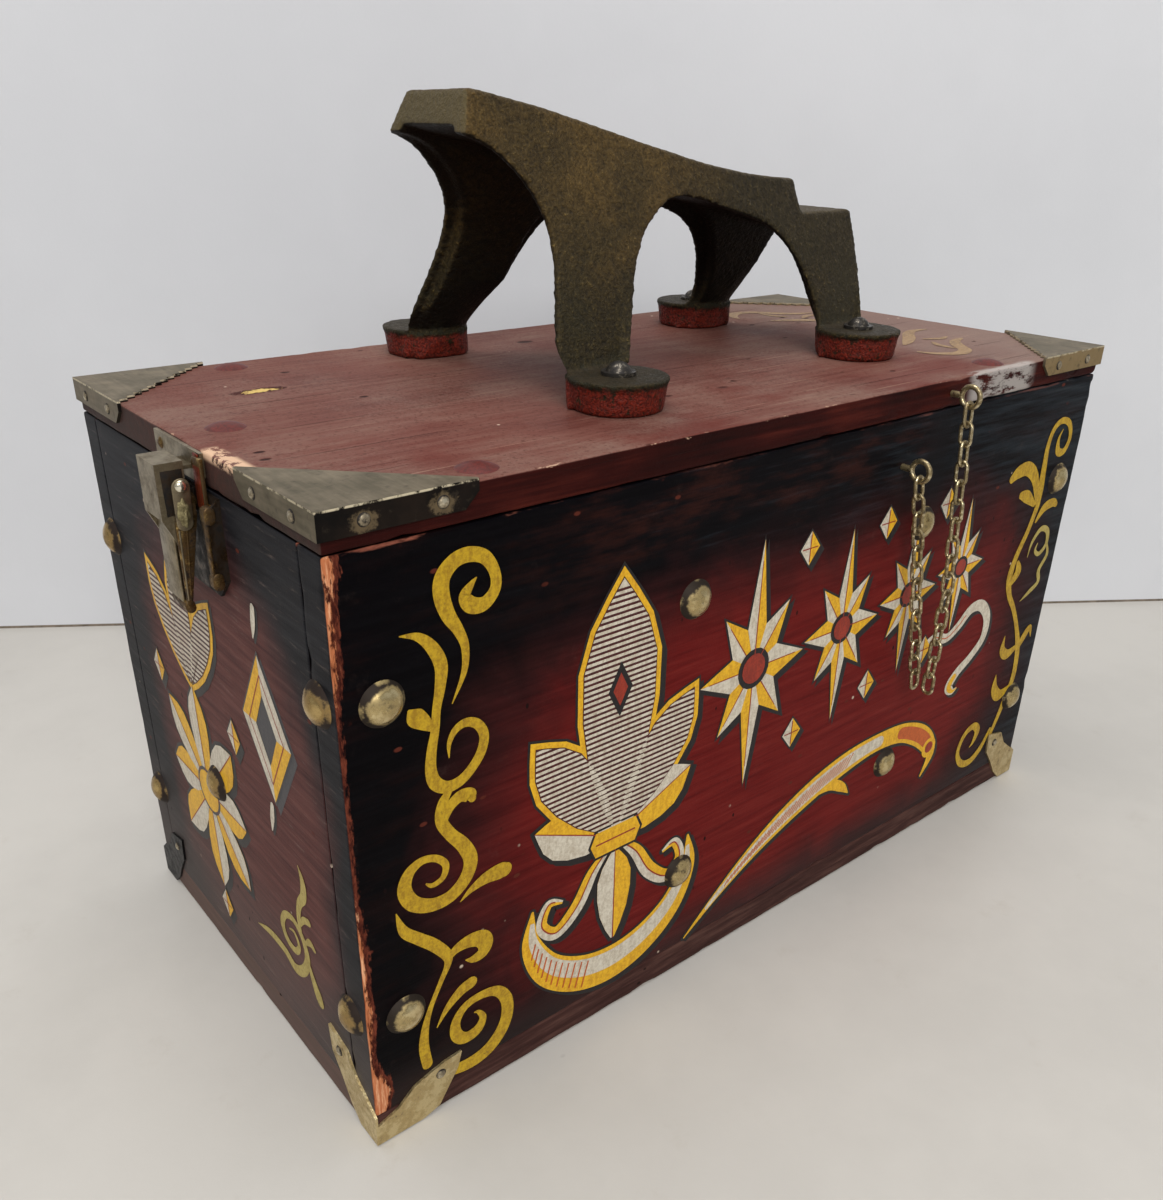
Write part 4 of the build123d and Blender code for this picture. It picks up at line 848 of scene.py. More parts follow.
LEFT_SCROLLS = (
    ((-133.6, 135.1, 0.3), (-129.7, 142.9, 1.8), (-129.1, 149.6, 2.4), (-130.8, 154.6, 3.0), (-133.6, 159.6, 4.0),
     (-135.2, 165.1, 4.6), (-134.7, 169.6, 4.6), (-131.3, 172.9, 4.2), (-126.9, 173.6, 4.0), (-122.4, 171.8, 3.6),
     (-119.7, 167.3, 3.2), (-119.7, 162.9, 3.4), (-123.0, 159.8, 4.0), (-126.9, 160.4, 4.4), (-128.6, 163.2, 3.6),
     (-126.6, 165.9, 1.8), (-125.0, 167.3, 0.3)),
    ((-147.4, 157.7, 0.3), (-142.4, 156.2, 2.2), (-138.6, 152.3, 3.4), (-136.3, 146.8, 3.8), (-136.9, 140.7, 3.2),
     (-138.2, 135.1, 2.6), (-138.9, 129.6, 2.6), (-140.2, 124.0, 3.0), (-140.8, 118.4, 3.4), (-139.7, 114.0, 3.8),
     (-136.3, 111.4, 3.6), (-131.9, 111.8, 3.4), (-128.0, 114.6, 3.2), (-125.2, 118.4, 3.2), (-124.3, 122.9, 3.0),
     (-126.3, 126.8, 2.8), (-129.7, 128.4, 2.6), (-133.0, 127.3, 2.2), (-135.0, 124.0, 1.4), (-135.2, 119.8, 0.3)),
    ((-146.2, 137.5, 0.5), (-144.6, 135.2, 5.0), (-142.0, 132.6, 4.2), (-139.4, 129.6, 1.2)),
    ((-134.1, 111.4, 1.0), (-137.6, 107.4, 3.2), (-138.6, 102.0, 3.6), (-136.0, 96.5, 3.6), (-132.0, 91.0, 4.2),
     (-129.9, 85.1, 4.6), (-131.9, 79.8, 4.6), (-136.9, 76.2, 4.4), (-143.0, 76.2, 4.4), (-148.4, 79.4, 4.6),
     (-150.8, 84.8, 4.4), (-149.2, 89.6, 3.6), (-145.2, 91.8, 2.6), (-140.8, 90.7, 2.2), (-137.9, 87.3, 2.2),
     (-138.9, 83.6, 2.0), (-142.2, 82.5, 1.6), (-144.3, 84.0, 0.5)),
    ((-137.2, 101.0, 1.0), (-135.6, 105.0, 3.2), (-132.4, 107.0, 3.8), (-129.4, 106.2, 4.2), (-128.6, 104.8, 2.4)),
    ((-133.9, 72.7, 0.3), (-130.0, 75.2, 2.2), (-125.0, 76.8, 4.2), (-120.4, 76.9, 5.4), (-118.6, 76.6, 4.8)),
    ((-153.8, 78.7, 0.3), (-151.9, 71.8, 3.0), (-147.4, 66.8, 3.6), (-143.0, 62.3, 3.8), (-139.0, 56.6, 3.4),
     (-138.9, 53.0, 2.4), (-141.3, 48.4, 1.8), (-145.2, 40.7, 1.8), (-147.4, 34.0, 2.6), (-148.2, 27.3, 3.4),
     (-147.4, 20.0, 3.4)),
    ((-138.9, 54.4, 1.5), (-136.0, 56.9, 3.2), (-131.6, 57.6, 4.6), (-127.4, 56.4, 5.6), (-126.0, 53.6, 5.4),
     (-127.2, 51.0, 4.2), (-130.2, 50.4, 2.8), (-133.0, 51.4, 0.3)),
    ((-143.6, 32.0, 0.3), (-139.7, 37.3, 2.4), (-134.9, 41.0, 3.9), (-131.4, 42.0, 4.2)),
    ((-141.8, 12.8, 3.6), (-133.6, 11.2, 4.6), (-126.9, 12.3, 5.0), (-121.9, 16.2, 5.0), (-119.1, 21.8, 4.6),
     (-119.1, 28.4, 4.2), (-122.4, 33.6, 3.6), (-128.2, 35.3, 3.0), (-133.9, 34.2, 3.0), (-137.2, 30.1, 3.4),
     (-137.2, 25.3, 4.0), (-134.4, 22.2, 4.2), (-130.0, 22.7, 4.0), (-127.8, 26.2, 2.6), (-129.2, 29.4, 1.4),
     (-130.8, 30.1, 0.4)),
)
RIGHT_SCROLLS = (
    ((141.6, 130.0, 2.0), (141.4, 138.0, 4.2), (140.6, 148.0, 3.6), (140.2, 157.0, 2.8), (142.4, 163.2, 2.6),
     (147.4, 165.6, 2.6), (153.2, 163.6, 2.6), (156.0, 158.0, 2.4), (153.6, 152.8, 2.8), (148.8, 153.2, 3.2),
     (147.4, 158.2, 1.8), (149.4, 162.0, 0.4)),
    ((118.2, 147.6, 3.6), (122.4, 149.6, 5.4), (129.0, 149.6, 5.6), (135.6, 144.4, 4.6), (140.4, 134.0, 2.0)),
    ((127.6, 139.4, 3.2), (132.0, 138.0, 5.0), (138.6, 133.6, 2.2)),
    ((143.0, 125.6, 1.4), (147.6, 130.4, 4.0), (153.6, 131.4, 3.8), (156.4, 130.2, 2.4)),
    ((141.8, 133.0, 3.2), (138.4, 123.0, 3.0), (133.2, 112.6, 3.4), (131.4, 104.0, 4.0), (134.0, 96.0, 3.0),
     (140.0, 88.0, 2.6), (145.6, 78.4, 2.6), (149.8, 68.8, 3.4), (151.6, 60.0, 3.4), (151.6, 51.6, 3.6),
     (148.6, 43.6, 3.4), (146.0, 36.0, 3.0), (142.0, 27.0, 2.4)),
    ((133.6, 101.6, 3.0), (137.0, 105.4, 4.6), (135.6, 109.6, 2.2)),
    ((137.6, 76.6, 0.3), (137.4, 70.4, 3.6), (142.0, 66.6, 4.6), (148.6, 68.4, 2.4)),
    ((159.4, 70.0, 0.3), (157.2, 75.0, 2.8), (153.4, 71.6, 4.0), (150.6, 67.4, 2.4)),
    ((136.8, 58.6, 0.3), (137.6, 51.6, 4.4), (142.4, 46.8, 5.4), (149.4, 48.4, 2.6)),
    ((141.0, 30.6, 1.6), (136.0, 22.6, 3.2), (129.0, 18.4, 3.5), (121.6, 20.4, 3.2), (117.6, 27.2, 2.6),
     (120.4, 34.6, 2.8), (126.4, 37.0, 3.4), (130.4, 33.6, 3.8), (128.8, 28.6, 2.2), (126.4, 26.4, 0.4)),
)
RIGHT_PALE = (
    ((142.2, 110.4, 0.4), (143.6, 116.6, 1.8), (148.6, 121.2, 2.4), (154.2, 119.2, 2.6), (155.4, 113.4, 2.2),
     (151.2, 110.0, 2.0), (147.4, 112.2, 1.6), (148.4, 115.4, 0.5)),
    ((155.0, 115.0, 0.5), (158.0, 108.4, 2.0), (154.0, 102.2, 2.4), (155.4, 96.6, 2.2), (149.6, 93.4, 2.2),
     (143.6, 90.6, 0.4)),
)
END_SCROLLS = (
    ((9.3, 33.5, 0.3), (19.3, 36.2, 2.8), (29.3, 36.2, 3.4), (36.4, 33.8, 3.8), (42.7, 37.3, 3.8), (46.4, 44.0, 3.4),
     (45.0, 50.6, 3.0), (39.8, 54.4, 2.6), (33.7, 52.8, 2.6), (30.6, 47.3, 3.0), (33.0, 42.6, 3.0), (38.3, 41.9, 2.6),
     (41.4, 45.7, 2.0), (39.0, 49.4, 1.4), (35.4, 48.6, 0.5)),
    ((44.3, 50.7, 1.5), (43.6, 57.3, 2.4), (45.4, 64.0, 3.0), (49.1, 69.0, 3.6), (49.8, 74.8, 3.0), (47.7, 79.3, 0.3)),
    ((42.9, 53.5, 0.5), (46.8, 59.0, 2.3), (50.6, 60.6, 2.6)),
    ((45.6, 49.4, 0.5), (49.6, 52.6, 2.8), (52.4, 51.6, 1.6)),
    ((46.0, 45.7, 0.8), (48.5, 39.0, 3.0), (51.2, 33.8, 4.8), (52.2, 31.8, 4.2)),
)


def two_tone(painting, points, left, right):
    """A scroll in two colours, with a thin red line between them and a black drop shade."""
    line = through(points, 9)
    painting.under(line, 0.5, rim=0.7)
    painting.band("body", left, line, 0.0, 0.5)
    painting.band("body", right, line, -0.5, 0.0)
    painting.band("light", "red", [(a, b, 0.5) for a, b, w in line if w > 2.2] or line[:2])


def front_painting(colors):
    work = Painting("front_paint", Matrix(((1, 0, 0, 0), (0, 0, -1, -HALF_WIDTH), (0, 1, 0, 0), (0, 0, 0, 1))), "box")
    for points in LEFT_SCROLLS + RIGHT_SCROLLS:
        work.band("body", "ochre", through(points))
    for points in RIGHT_PALE:
        work.band("body", "pale_ochre", through(points))

    # a lotus of striped and halved leaves that rises from a crescent
    middle = -77.0
    for leaf in ((24, 34, 17, False), (156, 34, 17, False), (54, 54, 21, True), (126, 54, 21, True),
                 (90, 88, 31, True)):
        petal(work, (middle, 70.0), *leaf)
    gem = lozenge_outline(middle, 121, 4.6, 9)
    work.shape("line", "black", gem)
    work.shape("line", "red", [(middle + (a - middle) * 0.6, 121 + (b - 121) * 0.6) for a, b in gem])
    horn = ((-109.0, 56.0, 1.0), (-109.6, 44.0, 7.0), (-103.0, 31.0, 11.0), (-91.0, 22.6, 13.4), (-77.0, 19.6, 14.4),
            (-63.0, 22.6, 13.4), (-51.0, 31.0, 11.0), (-44.4, 44.0, 7.0), (-45.0, 56.0, 1.0))
    line = through(horn, 10)
    work.under(line, 0.6, rim=0.9)
    work.band("body", "yellow", line)
    work.band("light", "cream", [(a, b, w * 0.9) for a, b, w in line[4:-4]], -0.12, 0.42)
    for step in range(12, 34, 2):
        a, b, w = line[step]
        work.band("line", "orange", [(a - 0.1 * w, b - 0.40 * w, 0.6), (a + 0.1 * w, b + 0.30 * w, 0.6)])
    curl = ((3, 66, 2.0), (9, 60, 4.6), (15, 50, 5.6), (23, 44, 5.0), (28.6, 49, 4.2), (26, 56, 3.4), (20.6, 54.6, 1.2))
    for sign, left, right in ((-1, "cream", "yellow"), (1, "yellow", "cream")):
        two_tone(work, [(middle + sign * a, b, w) for a, b, w in curl], left, right)
    petal(work, (middle, 30.0), 90, 36, 14)
    collar = [(middle + a, b) for a, b in ((-8, 74), (8, 74), (10, 69.5), (8, 65), (-8, 65), (-10, 69.5))]
    work.shape("light", "black", swell(collar, 0.9))
    work.shape("line", "yellow", collar)
    work.band("line", "red", [(middle - 8, 69.5, 0.6), (middle + 8, 69.5, 0.6)])

    # a row of compass stars with small lozenges between them
    for star in ((-20.0, 110.0, 24.0, 44.0), (24.0, 112.0, 19.5, 36.0), (61.0, 115.0, 16.5, 31.0),
                 (93.0, 118.0, 14.5, 27.0)):
        compass_star(work, *star)
    for spot in ((2.0, 146.0), (42.5, 146.0), (77.5, 146.0), (3.0, 78.0), (43.0, 84.0), (77.0, 88.0)):
        lozenge(work, *spot, 4.6, 5.8)

    # the loose swash at the right
    swash = ((76.0, 90.0, 1.0), (84.0, 91.0, 4.0), (92.0, 88.6, 4.0), (99.0, 91.6, 4.4), (106.4, 97.0, 4.6),
             (113.8, 96.6, 4.8), (119.6, 90.0, 4.6), (119.6, 81.0, 4.2), (113.0, 74.6, 4.0), (104.6, 69.6, 4.6),
             (100.4, 64.6, 5.4), (103.4, 61.4, 3.0), (106.6, 62.2, 0.6))
    line = through(swash)
    work.under(line, 0.4, (1.8, -1.4))
    work.band("body", "cream", line)
    work.band("light", "orange", [(a, b, 0.5) for a, b, w in line[6:30]])
    work.band("light", "yellow", [(a, b, w * 0.55) for a, b, w in line[74:]])

    # the long quill that sweeps under the row
    quill = ((-43.6, 11.6, 0.6), (-30.0, 22.0, 3.0), (-14.0, 32.6, 6.0), (2.0, 41.0, 8.6), (20.0, 48.0, 10.0),
             (38.0, 52.6, 9.6), (56.0, 54.4, 8.0), (72.0, 53.0, 8.4), (84.0, 48.0, 9.6), (92.0, 41.4, 9.0),
             (95.6, 34.6, 5.0), (91.0, 26.0, 1.2))
    line = through(quill, 10)
    work.under(line, 0.6, (1.4, -1.2), 0.9)
    work.band("body", "yellow", line)
    inner = [(a, b, w * 0.62) for a, b, w in line]
    work.band("light", "cream", inner[8:62])
    work.band("light", "orange", inner[70:98])
    for step in range(14, 52):
        a, b, w = inner[step]
        work.band("line", "orange", [(a - 0.35 * w, b - 0.5 * w, 0.5), (a + 0.30 * w, b + 0.42 * w, 0.5)])
    barb = through(((20.0, 44.6, 1.2), (30.0, 45.4, 4.2), (37.0, 42.0, 4.0), (41.6, 37.6, 0.4)))
    work.under(barb, 0.6, (0.8, -1.0))
    work.band("body", "yellow", barb)
    work.dot("light", "yellow", (93.6, 38.6), 4.6)
    work.dot("line", "red", (93.6, 38.8), 2.6)
    work.lay(colors)


def end_painting(colors):
    work = Painting("end_paint", Matrix(((0, 0, -1, -HALF_LENGTH), (-1, 0, 0, 0), (0, 1, 0, 0), (0, 0, 0, 1))), "box")
    for points in END_SCROLLS:
        work.band("body", "pale_ochre", through(points))

    # a rosette of eight halved leaves
    a, b = -18.0, 70.0
    for k in range(8):
        across, up = math.cos(k * math.pi / 4), math.sin(k * math.pi / 4)
        petal(work, (a + 4 * across, b + 4.6 * up), 45 * k, 25 + 9 * abs(up), 14.5, shade=(1.4, -1.4))
    work.dot("light", "slate", (a, b), 8.6, 28)
    work.dot("line", "yellow", (a, b), 7.4, 28)

    # striped leaves under the latch
    for leaf in ((90, 48, 18), (124, 44, 15), (56, 44, 15)):
        petal(work, (a, 108.0), *leaf, True, (1.4, -1.4))
    for spot in ((-48.0, 104.0), (12.0, 104.0), (a, 24.0)):
        lozenge(work, *spot, 4.6, 6.0)

    # a lozenge frame and two drops
    a, b = 38.0, 118.0
    outer, inner = lozenge_outline(a, b, 15, 23), lozenge_outline(a, b, 6.4, 11)
    work.backing(outer, 0.8, 0.7, (2.2, -1.8), color="slate")
    for k in range(4):
        work.shape("body", ("cream", "yellow")[k % 2], [outer[k], outer[k - 3], inner[k - 3], inner[k]])
    middle = [((p + r) / 2, (q + s) / 2) for (p, q), (r, s) in zip(outer, inner)]
    for k in range(4):
        work.band("light", "red", [(*middle[k], 0.5), (*middle[k - 3], 0.5)])
    for drop in (((37.4, 145.6, 0.5), (38.6, 150.0, 2.6), (39.6, 155.0, 2.4)),
                 ((35.0, 92.6, 2.0), (33.8, 87.6, 2.6), (32.6, 82.6, 0.5))):
        line = through(drop)
        work.under(line, 0.3, (0.9, -0.8))
        work.band("body", "cream", line)
    work.lay(colors)


def lid_painting(colors):
    work = Painting("lid_paint", Matrix.Translation((0, 0, LID_TOP)), "lid")
    scrolls = (((99.0, -46.0, 1.5), (102.0, -52.0, 4.0), (109.0, -56.4, 5.0), (117.0, -54.0, 5.0), (123.0, -47.0, 5.0),
                (130.0, -41.0, 4.0), (138.0, -38.6, 1.5)),
               ((107.0, -34.0, 1.5), (113.0, -31.0, 4.0), (121.0, -26.0, 5.0), (128.0, -20.6, 4.6), (136.0, -16.8, 3.4),
                (144.0, -17.6, 1.2)),
               ((121.0, -37.0, 1.0), (117.6, -42.0, 3.0), (117.0, -48.6, 2.0)),
               ((124.0, -31.0, 1.4), (130.0, -34.0, 3.2), (136.0, -33.0, 1.0)))
    for points in scrolls:
        for sign in (1, -1):
            work.band("body", "tan", through([(a, sign * b, w) for a, b, w in points]))
    work.lay(colors)


# ------------------------------------------------------------------------------------ the casting
def build_footrest(material):
    """The casting in one skin: its joins melted together, its edges softened and its surface pitted."""
    voxel, smoothings = 0.00085, 9
    leg_low, leg_high, pad_radius, pad_top, flare = 9.0, 26.0, 14.9, 10.6, 0.55
    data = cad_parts["footrest"].data.copy()
    piece = bpy.data.objects.new("footrest_casting", data)
    bpy.context.collection.objects.link(piece)
    weld = bmesh.new()
    weld.from_mesh(data)
    bmesh.ops.remove_doubles(weld, verts=weld.verts, dist=1e-6)
    weld.to_mesh(data)
    weld.free()
    skin = piece.modifiers.new("skin", "REMESH")
    skin.mode = "VOXEL"
    skin.voxel_size = voxel
    skin.use_smooth_shade = True
    soft = piece.modifiers.new("soft", "SMOOTH")
    soft.factor = 0.5
    soft.iterations = smoothings
    made = bpy.data.meshes.new_from_object(piece.evaluated_get(bpy.context.evaluated_depsgraph_get()))
    piece.modifiers.clear()
    piece.data = made
    made.materials.clear()
    made.materials.append(material)
    made.polygons.foreach_set("use_smooth", [True] * len(made.polygons))
    normals = [vertex.normal.copy() for vertex in made.vertices]
    for vertex, normal in zip(made.vertices, normals):
        spot = vertex.co * 1000
        pit = noise.noise(spot / 1.9) * 0.10 + noise.noise(spot / 14 + Vector((7, 0, 0))) * 0.22
        above = spot.z - LID_TOP
        if above > 1.0:
            vertex.co += normal * (pit / 1000)
        # the legs' feet run into the round pads
        if leg_low < above < leg_high:
            x, y = min(PADS, key=lambda pad: math.hypot(spot.x - pad[0], spot.y - pad[1]))
            out = Vector((spot.x - x, spot.y - y))
            room = pad_radius + max(0.0, above - pad_top) * flare
            if out.length > room:
                held = room + (out.length - room) * min(1.0, (above - leg_low) / (leg_high - leg_low)) ** 1.5
                out *= held / out.length
                vertex.co.x, vertex.co.y = (x + out.x) / 1000, (y + out.y) / 1000
        vertex.co.z = max(vertex.co.z, LID_TOP / 1000)
    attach(piece, "lid")
    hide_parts("footrest")


# ------------------------------------------------------------------------------------- metalwork
def latch_point(u, w, z):
    """From the latch's own sizes, u out of the end and w sideways, to the row's."""
    return Vector((-HALF_LENGTH - u, LATCH_Y + w, z))


def latch_plate(name, outline, w0, w1, material, body, bevel=0.22):
    """A flat piece cut to an outline of (u, z), from w0 to w1 sideways."""
    plate = bmesh.new()
    face = plate.faces.new([plate.verts.new(latch_point(u, w0, z)) for u, z in outline])
    grown = bmesh.ops.extrude_face_region(plate, geom=[face])
    bmesh.ops.translate(plate, vec=(0, w1 - w0, 0), verts=new_vertices(grown))
    bmesh.ops.holes_fill(plate, edges=plate.edges[:])
    bmesh.ops.recalc_face_normals(plate, faces=plate.faces[:])
    bmesh.ops.bevel(plate, geom=plate.edges[:], offset=bevel, segments=2, profile=0.5, material=-1, affect="EDGES",
                    clamp_overlap=True)
    make_piece(name, plate, material, body)


def strap(low, high, low_radius, high_radius, steps=10):
    """The outline of a strap with round ends, from (u, z) low to (u, z) high."""
    points = []
    for (u, z), radius, start in ((high, high_radius, 0.0), (low, low_radius, math.pi)):
        for k in range(steps + 1):
            angle = start + math.pi * k / steps
            points.append((u + radius * math.cos(angle), z + radius * math.sin(angle)))
    return points


def lump(name, middle, radii, material, body, roughness, seed):
    """A small rough lump or a rivet's head."""
    ball = bmesh.new()
    bmesh.ops.create_icosphere(ball, subdivisions=4, radius=1.0)
    for vertex in ball.verts:
        vertex.co *= 1 + roughness * noise.noise(vertex.co * 2.2 + Vector((seed, 0, 0)))
    bmesh.ops.scale(ball, vec=radii, verts=ball.verts)
    bmesh.ops.translate(ball, vec=middle, verts=ball.verts)
    make_piece(name, ball, material, body)


def slab(near, far, first, last):
    """The outline of a block between two distances from the end and two heights."""
    return [(near, first), (far, first), (far, last), (near, last)]


def ridge(top, foot):
    """The outline of a thin ridge that runs down the lever's cheek."""
    return [(top - 0.25, 170.6), (top + 0.25, 170.6), (foot + 0.2, 151.0), (foot - 0.2, 151.0)]


METALS = (
    # name, bright, dull and dark colour, tarnish, seed, polish, size of its patches, depth of its bumps, dark rims
    ("tack_brass", (212, 194, 148), (170, 150, 104), (40, 30, 20), 0.52, 3.0, 0.20, 7.0, 0.006, 0.34),
    ("end_tack_brass", (190, 164, 110), (150, 124, 78), (40, 28, 20), 0.52, 8.0, 0.24, 7.0, 0.006, 0.34),
    ("nail_steel", (206, 196, 172), (140, 128, 106), (36, 30, 26), 0.52, 5.0, 0.32, 2.0, 0.01, 0.34),
    ("chain_steel", (222, 208, 172), (140, 124, 90), (50, 40, 28), 0.50, 6.0, 0.26, 1.6, 0.02),
    ("latch_plate", (150, 138, 114), (120, 108, 86), (52, 42, 32), 0.55, 1.0, 0.40, 5.0, 0.05),
    ("latch_brass", (176, 150, 98), (92, 70, 42), (32, 23, 16), 0.46, 4.0, 0.28, 2.6, 0.05),
    ("latch_shadowed", (104, 82, 54), (48, 36, 25), (18, 14, 11), 0.42, 21.0, 0.36, 3.4, 0.04),
    ("latch_rust", (168, 66, 28), (112, 40, 20), (46, 22, 14), 0.50, 31.0, 0.34, 2.6, 0.04),
    ("latch_crust", (160, 150, 112), (126, 116, 84), (84, 76, 54), 0.55, 34.0, 0.6, 1.2, 0.2),
    ("latch_rivet", (232, 226, 208), (190, 182, 158), (90, 80, 64), 0.60, 36.0, 0.16, 3.0, 0.005),
    ("guard_sheet", (214, 196, 150), (186, 164, 116), (70, 48, 28), 0.54, 9.0, 0.40, 4.0, 0.35),
    ("dark_guard_sheet", (46, 42, 42), (26, 24, 26), (12, 11, 13), 0.5, 12.0, 0.45, 3.0, 0.1),
    ("hinge_brass", (196, 172, 122), (124, 104, 70), (56, 44, 34), 0.50, 14.0, 0.36, 2.0),
    ("bolt_steel", (150, 142, 128), (58, 54, 50), (22, 20, 20), 0.48, 15.0, 0.34, 1.6),
)
DRESSED = (
    # nodes, material, bevel
    ("front_tacks back_tacks", "tack_brass", 0.0),
    ("hinge_end_tacks latch_end_tacks", "end_tack_brass", 0.0),
    ("lid_tacks", "tack_red_paint", 0.0),
    ("wall_nails bottom_nails guard_nails bracket_nails footrest_under_washers footrest_nuts", "nail_steel", 0.0),
    ("latch_base_nails latch_strike_nails latch_lever_pin latch_hook_pin", "latch_brass", 0.0),
    ("chain_box_eye chain_lid_eye chain_lid_strand chain_box_strand", "chain_steel", 0.0),
    ("footrest_bolts footrest_top_washers", "bolt_steel", 0.0),
    ("hinge_pins hinge_box_screws hinge_lid_screws", "hinge_brass", 0.0),
    ("latch_hook latch_strike", "latch_plate", 0.25),
    ("latch_base", "latch_shadowed", 0.2),
    ("latch_lever", "latch_brass", 0.2),
    ("front_latch_bracket front_hinge_bracket back_latch_bracket back_hinge_bracket", "bracket_sheet", 0.2),
    ("front_latch_guard front_hinge_guard back_hinge_guard", "guard_sheet", 0.15),
    ("back_latch_guard", "dark_guard_sheet", 0.15),
    ("front_hinge_box_leaf front_hinge_lid_leaf back_hinge_box_leaf back_hinge_lid_leaf", "hinge_brass", 0.15),
)
LATCH_PLATES = (
    # name, outline of (u, z), from and to sideways, material, body, bevel
    # a thin dark sheet of painted shade where the hook's cheek has a window, and the round-headed strap over it
    ("hook_window", [(9.9, 186.2), (4.3, 186.2), (4.3, 177.0), (6.4, 174.6), (9.7, 174.2)], -6.30, -6.21,
     "latch_shadowed", "latch_hook", 0.02),
    ("hook_strap", strap((5.9, 172.4), (5.7, 181.8), 2.2, 2.4), -7.85, -7.25, "latch_plate", "latch_hook", 0.2),
    # the lever's near cheek, a folded strip from its pivot down, with ridges, the plate in front and the rolled tip
    ("lever_cheek", [(6.9, 149.8), (8.4, 149.6), (8.3, 171.5), (7.2, 176.2), (6.0, 179.2), (4.0, 179.7), (2.4, 178.6),
                     (2.3, 173.4), (4.4, 163.0)], -7.15, -6.38, "latch_brass", "latch_lever"),
    ("lever_ridge_0", ridge(7.6, 8.0), -7.5, -7.0, "latch_plate", "latch_lever", 0.08),
    ("lever_ridge_1", ridge(5.6, 7.3), -7.5, -7.0, "latch_brass", "latch_lever", 0.08),
    ("lever_front", [(8.15, 172.0), (8.9, 172.0), (8.9, 150.2), (8.15, 149.4)], -5.05, 5.05, "latch_plate",
     "latch_lever"),
    ("lever_roll", strap((7.3, 148.2), (7.5, 149.2), 1.4, 1.4), -6.4, 3.4, "latch_brass", "latch_lever"),
    # round loops at the ends of the near rail
    ("rail_loop_0", strap((3.2, 176.4 - 0.9), (3.2, 176.4 + 0.9), 1.5, 1.5), -18.5, -15.6, "latch_brass", "box"),
    ("rail_loop_1", strap((3.2, 158.6 - 0.9), (3.2, 158.6 + 0.9), 1.5, 1.5), -18.5, -15.6, "latch_brass", "box"),
    ("rail_strip", slab(3.7, 4.5, 175.6, 159.4), -18.2, -16.2, "latch_brass", "box"),
    # the rusty end of the strike and the tongue that hangs from it beside the hook
    ("strike_rust", slab(1.3, 1.75, 182.0, 190.4), -11.2, -8.1, "latch_rust", "lid", 0.1),
    ("strike_tongue", slab(1.15, 2.3, 169.6, 189.8), -13.4, -9.0, "latch_brass", "lid"),
    ("tongue_paint", slab(2.32, 2.40, 176.6, 187.6), -13.3, -9.1, "latch_rust", "lid", 0.02),
)


def build_metalwork():
    looks = {values[0]: metal(*values) for values in METALS}
    looks["bracket_sheet"] = bracket_look()
    looks["tack_red_paint"] = sign_paint("tack_red_paint", (98, 34, 27), (70, 26, 21), 0.66, 5.0)
    for nodes, look, bevel in DRESSED:
        dress(nodes, looks[look], bevel)
    for name, outline, w0, w1, look, body, *bevel in LATCH_PLATES:
        latch_plate(name, outline, w0, w1, looks[look], body, *bevel)
    lump("hook_rivet", latch_point(5.7, -7.8, 182.2), (1.7, 1.2, 1.7), looks["latch_rivet"], "latch_hook", 0.0, 1)
    lump("hook_crust", latch_point(6.0, -7.8, 175.0), (1.6, 0.8, 3.6), looks["latch_crust"], "latch_hook", 0.35, 5)


# --------------------------------------------------------------------------- floor, wall and light
def flat_sheet(name, half_sizes, matrix, material):
    """A flat rectangle of the room, which rides on no body."""
    sheet = bmesh.new()
    bmesh.ops.create_grid(sheet, x_segments=1, y_segments=1, size=1.0)
    bmesh.ops.scale(sheet, vec=(*half_sizes, 1), verts=sheet.verts)
    bmesh.ops.transform(sheet, matrix=matrix, verts=sheet.verts)
    return make_piece(name, sheet, material, None)


def build_surroundings():
    pale = plain_look("pale_floor", (194, 190, 183), 0.40, 120, 0.08, True)
    wall_look = plain_look("pale_wall", (214, 215, 218), 0.8, 300, 0.06)
    # a thin brown strip along the foot of the wall
    foot_strip_look = plain_look("brown_foot_strip", (132, 120, 106), 0.8, 8, 0.5)
    # two points on the line where the wall stands
    start, end = Vector((-133.0, 346.0, 0)), Vector((390.0, -7.0, 0))
    along = (end - start).normalized()
    turn = Matrix.Rotation(math.atan2(along.y, along.x), 4, "Z") @ Matrix.Rotation(math.pi / 2, 4, "X")
    front = Vector((along.y, -along.x, 0)) * 0.6
    foot = start + along * 300
    floor = flat_sheet("floor", (2600, 2600), Matrix.Translation((0, 0, -0.2)), pale)
    wall = flat_sheet("backdrop", (1900, 900), Matrix.Translation(foot + Vector((0, 0, 899.8))) @ turn, wall_look)
    foot_strip = flat_sheet("wall_foot", (1900, 0.75), Matrix.Translation(foot + front + Vector((0, 0, 0.75))) @ turn, foot_strip_look)


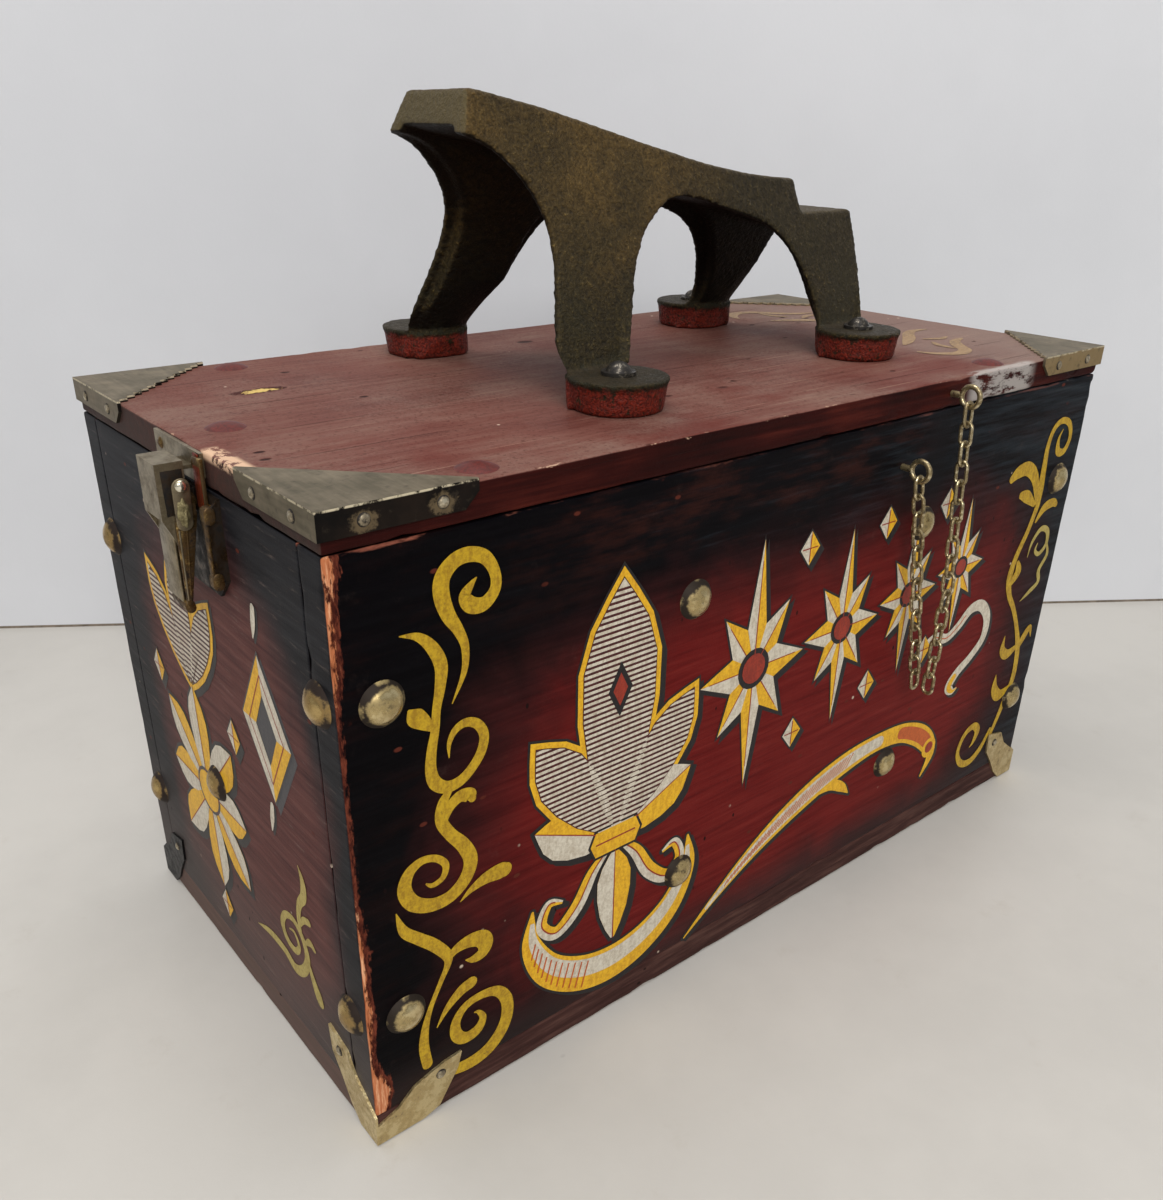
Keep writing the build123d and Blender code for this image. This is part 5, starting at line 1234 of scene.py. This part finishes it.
def area_light(name, place, target, size, power, color):
    data = bpy.data.lights.new(name, "AREA")
    data.shape = "RECTANGLE"
    data.size, data.size_y = size
    data.energy = power
    data.color = color
    lamp = bpy.data.objects.new(name, data)
    lamp.location = place
    aim = Vector(target) - Vector(place)
    lamp.rotation_euler = aim.to_track_quat("-Z", "Y").to_euler()
    bpy.context.collection.objects.link(lamp)


def set_light():
    """A broad window at the front left, a softer ceiling and a pale room, in metres and watts."""
    area_light("window", place=(-0.95, -1.45, 1.4), target=(0, -0.05, 0.1), size=(1.2, 1.0), power=29,
               color=(1.0, 0.99, 0.975))
    area_light("ceiling", place=(-0.15, 0.05, 1.9), target=(0.0, 0.1, 0), size=(1.2, 1.2), power=19,
               color=(1.0, 0.995, 0.985))
    world = bpy.data.worlds.new("room")
    world.use_nodes = True
    background = world.node_tree.nodes["Background"]
    background.inputs["Color"].default_value = (0.96, 0.97, 1.0, 1)
    background.inputs["Strength"].default_value = 0.44
    bpy.context.scene.world = world
    bpy.context.scene.view_settings.view_transform = "Standard"


# ----------------------------------------------------------------------------------------- all of it
for make in (make_soft_grain, make_flecks, make_wood_figure, make_dust, make_brushed_enamel, make_old_metal):
    make()
set_camera()
set_light()
build_surroundings()
build_boards(wall_paint(), plinth_paint(), divider_wood(), lid_paint())
enamels = {name: sign_paint(name + "_enamel", base, deep, wear, seed) for name, base, deep, wear, seed in (
    ("ochre", (190, 154, 24), (148, 112, 14), 0.60, 1.0),
    ("pale_ochre", (176, 158, 84), (146, 126, 56), 0.58, 2.0),
    ("tan", (160, 128, 84), (130, 98, 66), 0.54, 10.0),
    ("yellow", (226, 176, 30), (196, 142, 18), 0.66, 3.0),
    ("cream", (208, 200, 182), (176, 164, 144), 0.64, 4.0),
    ("black", (18, 16, 18), (26, 18, 18), 0.72, 5.0),
    ("slate", (52, 52, 56), (64, 60, 62), 0.70, 6.0),
    ("maroon", (74, 20, 20), (54, 16, 18), 0.72, 7.0),
    ("red", (150, 48, 28), (120, 36, 22), 0.70, 8.0),
    ("orange", (190, 92, 34), (164, 74, 26), 0.70, 9.0))}
front_painting(enamels)
end_painting(enamels)
lid_painting(enamels)
build_footrest(casting_look())
build_metalwork()
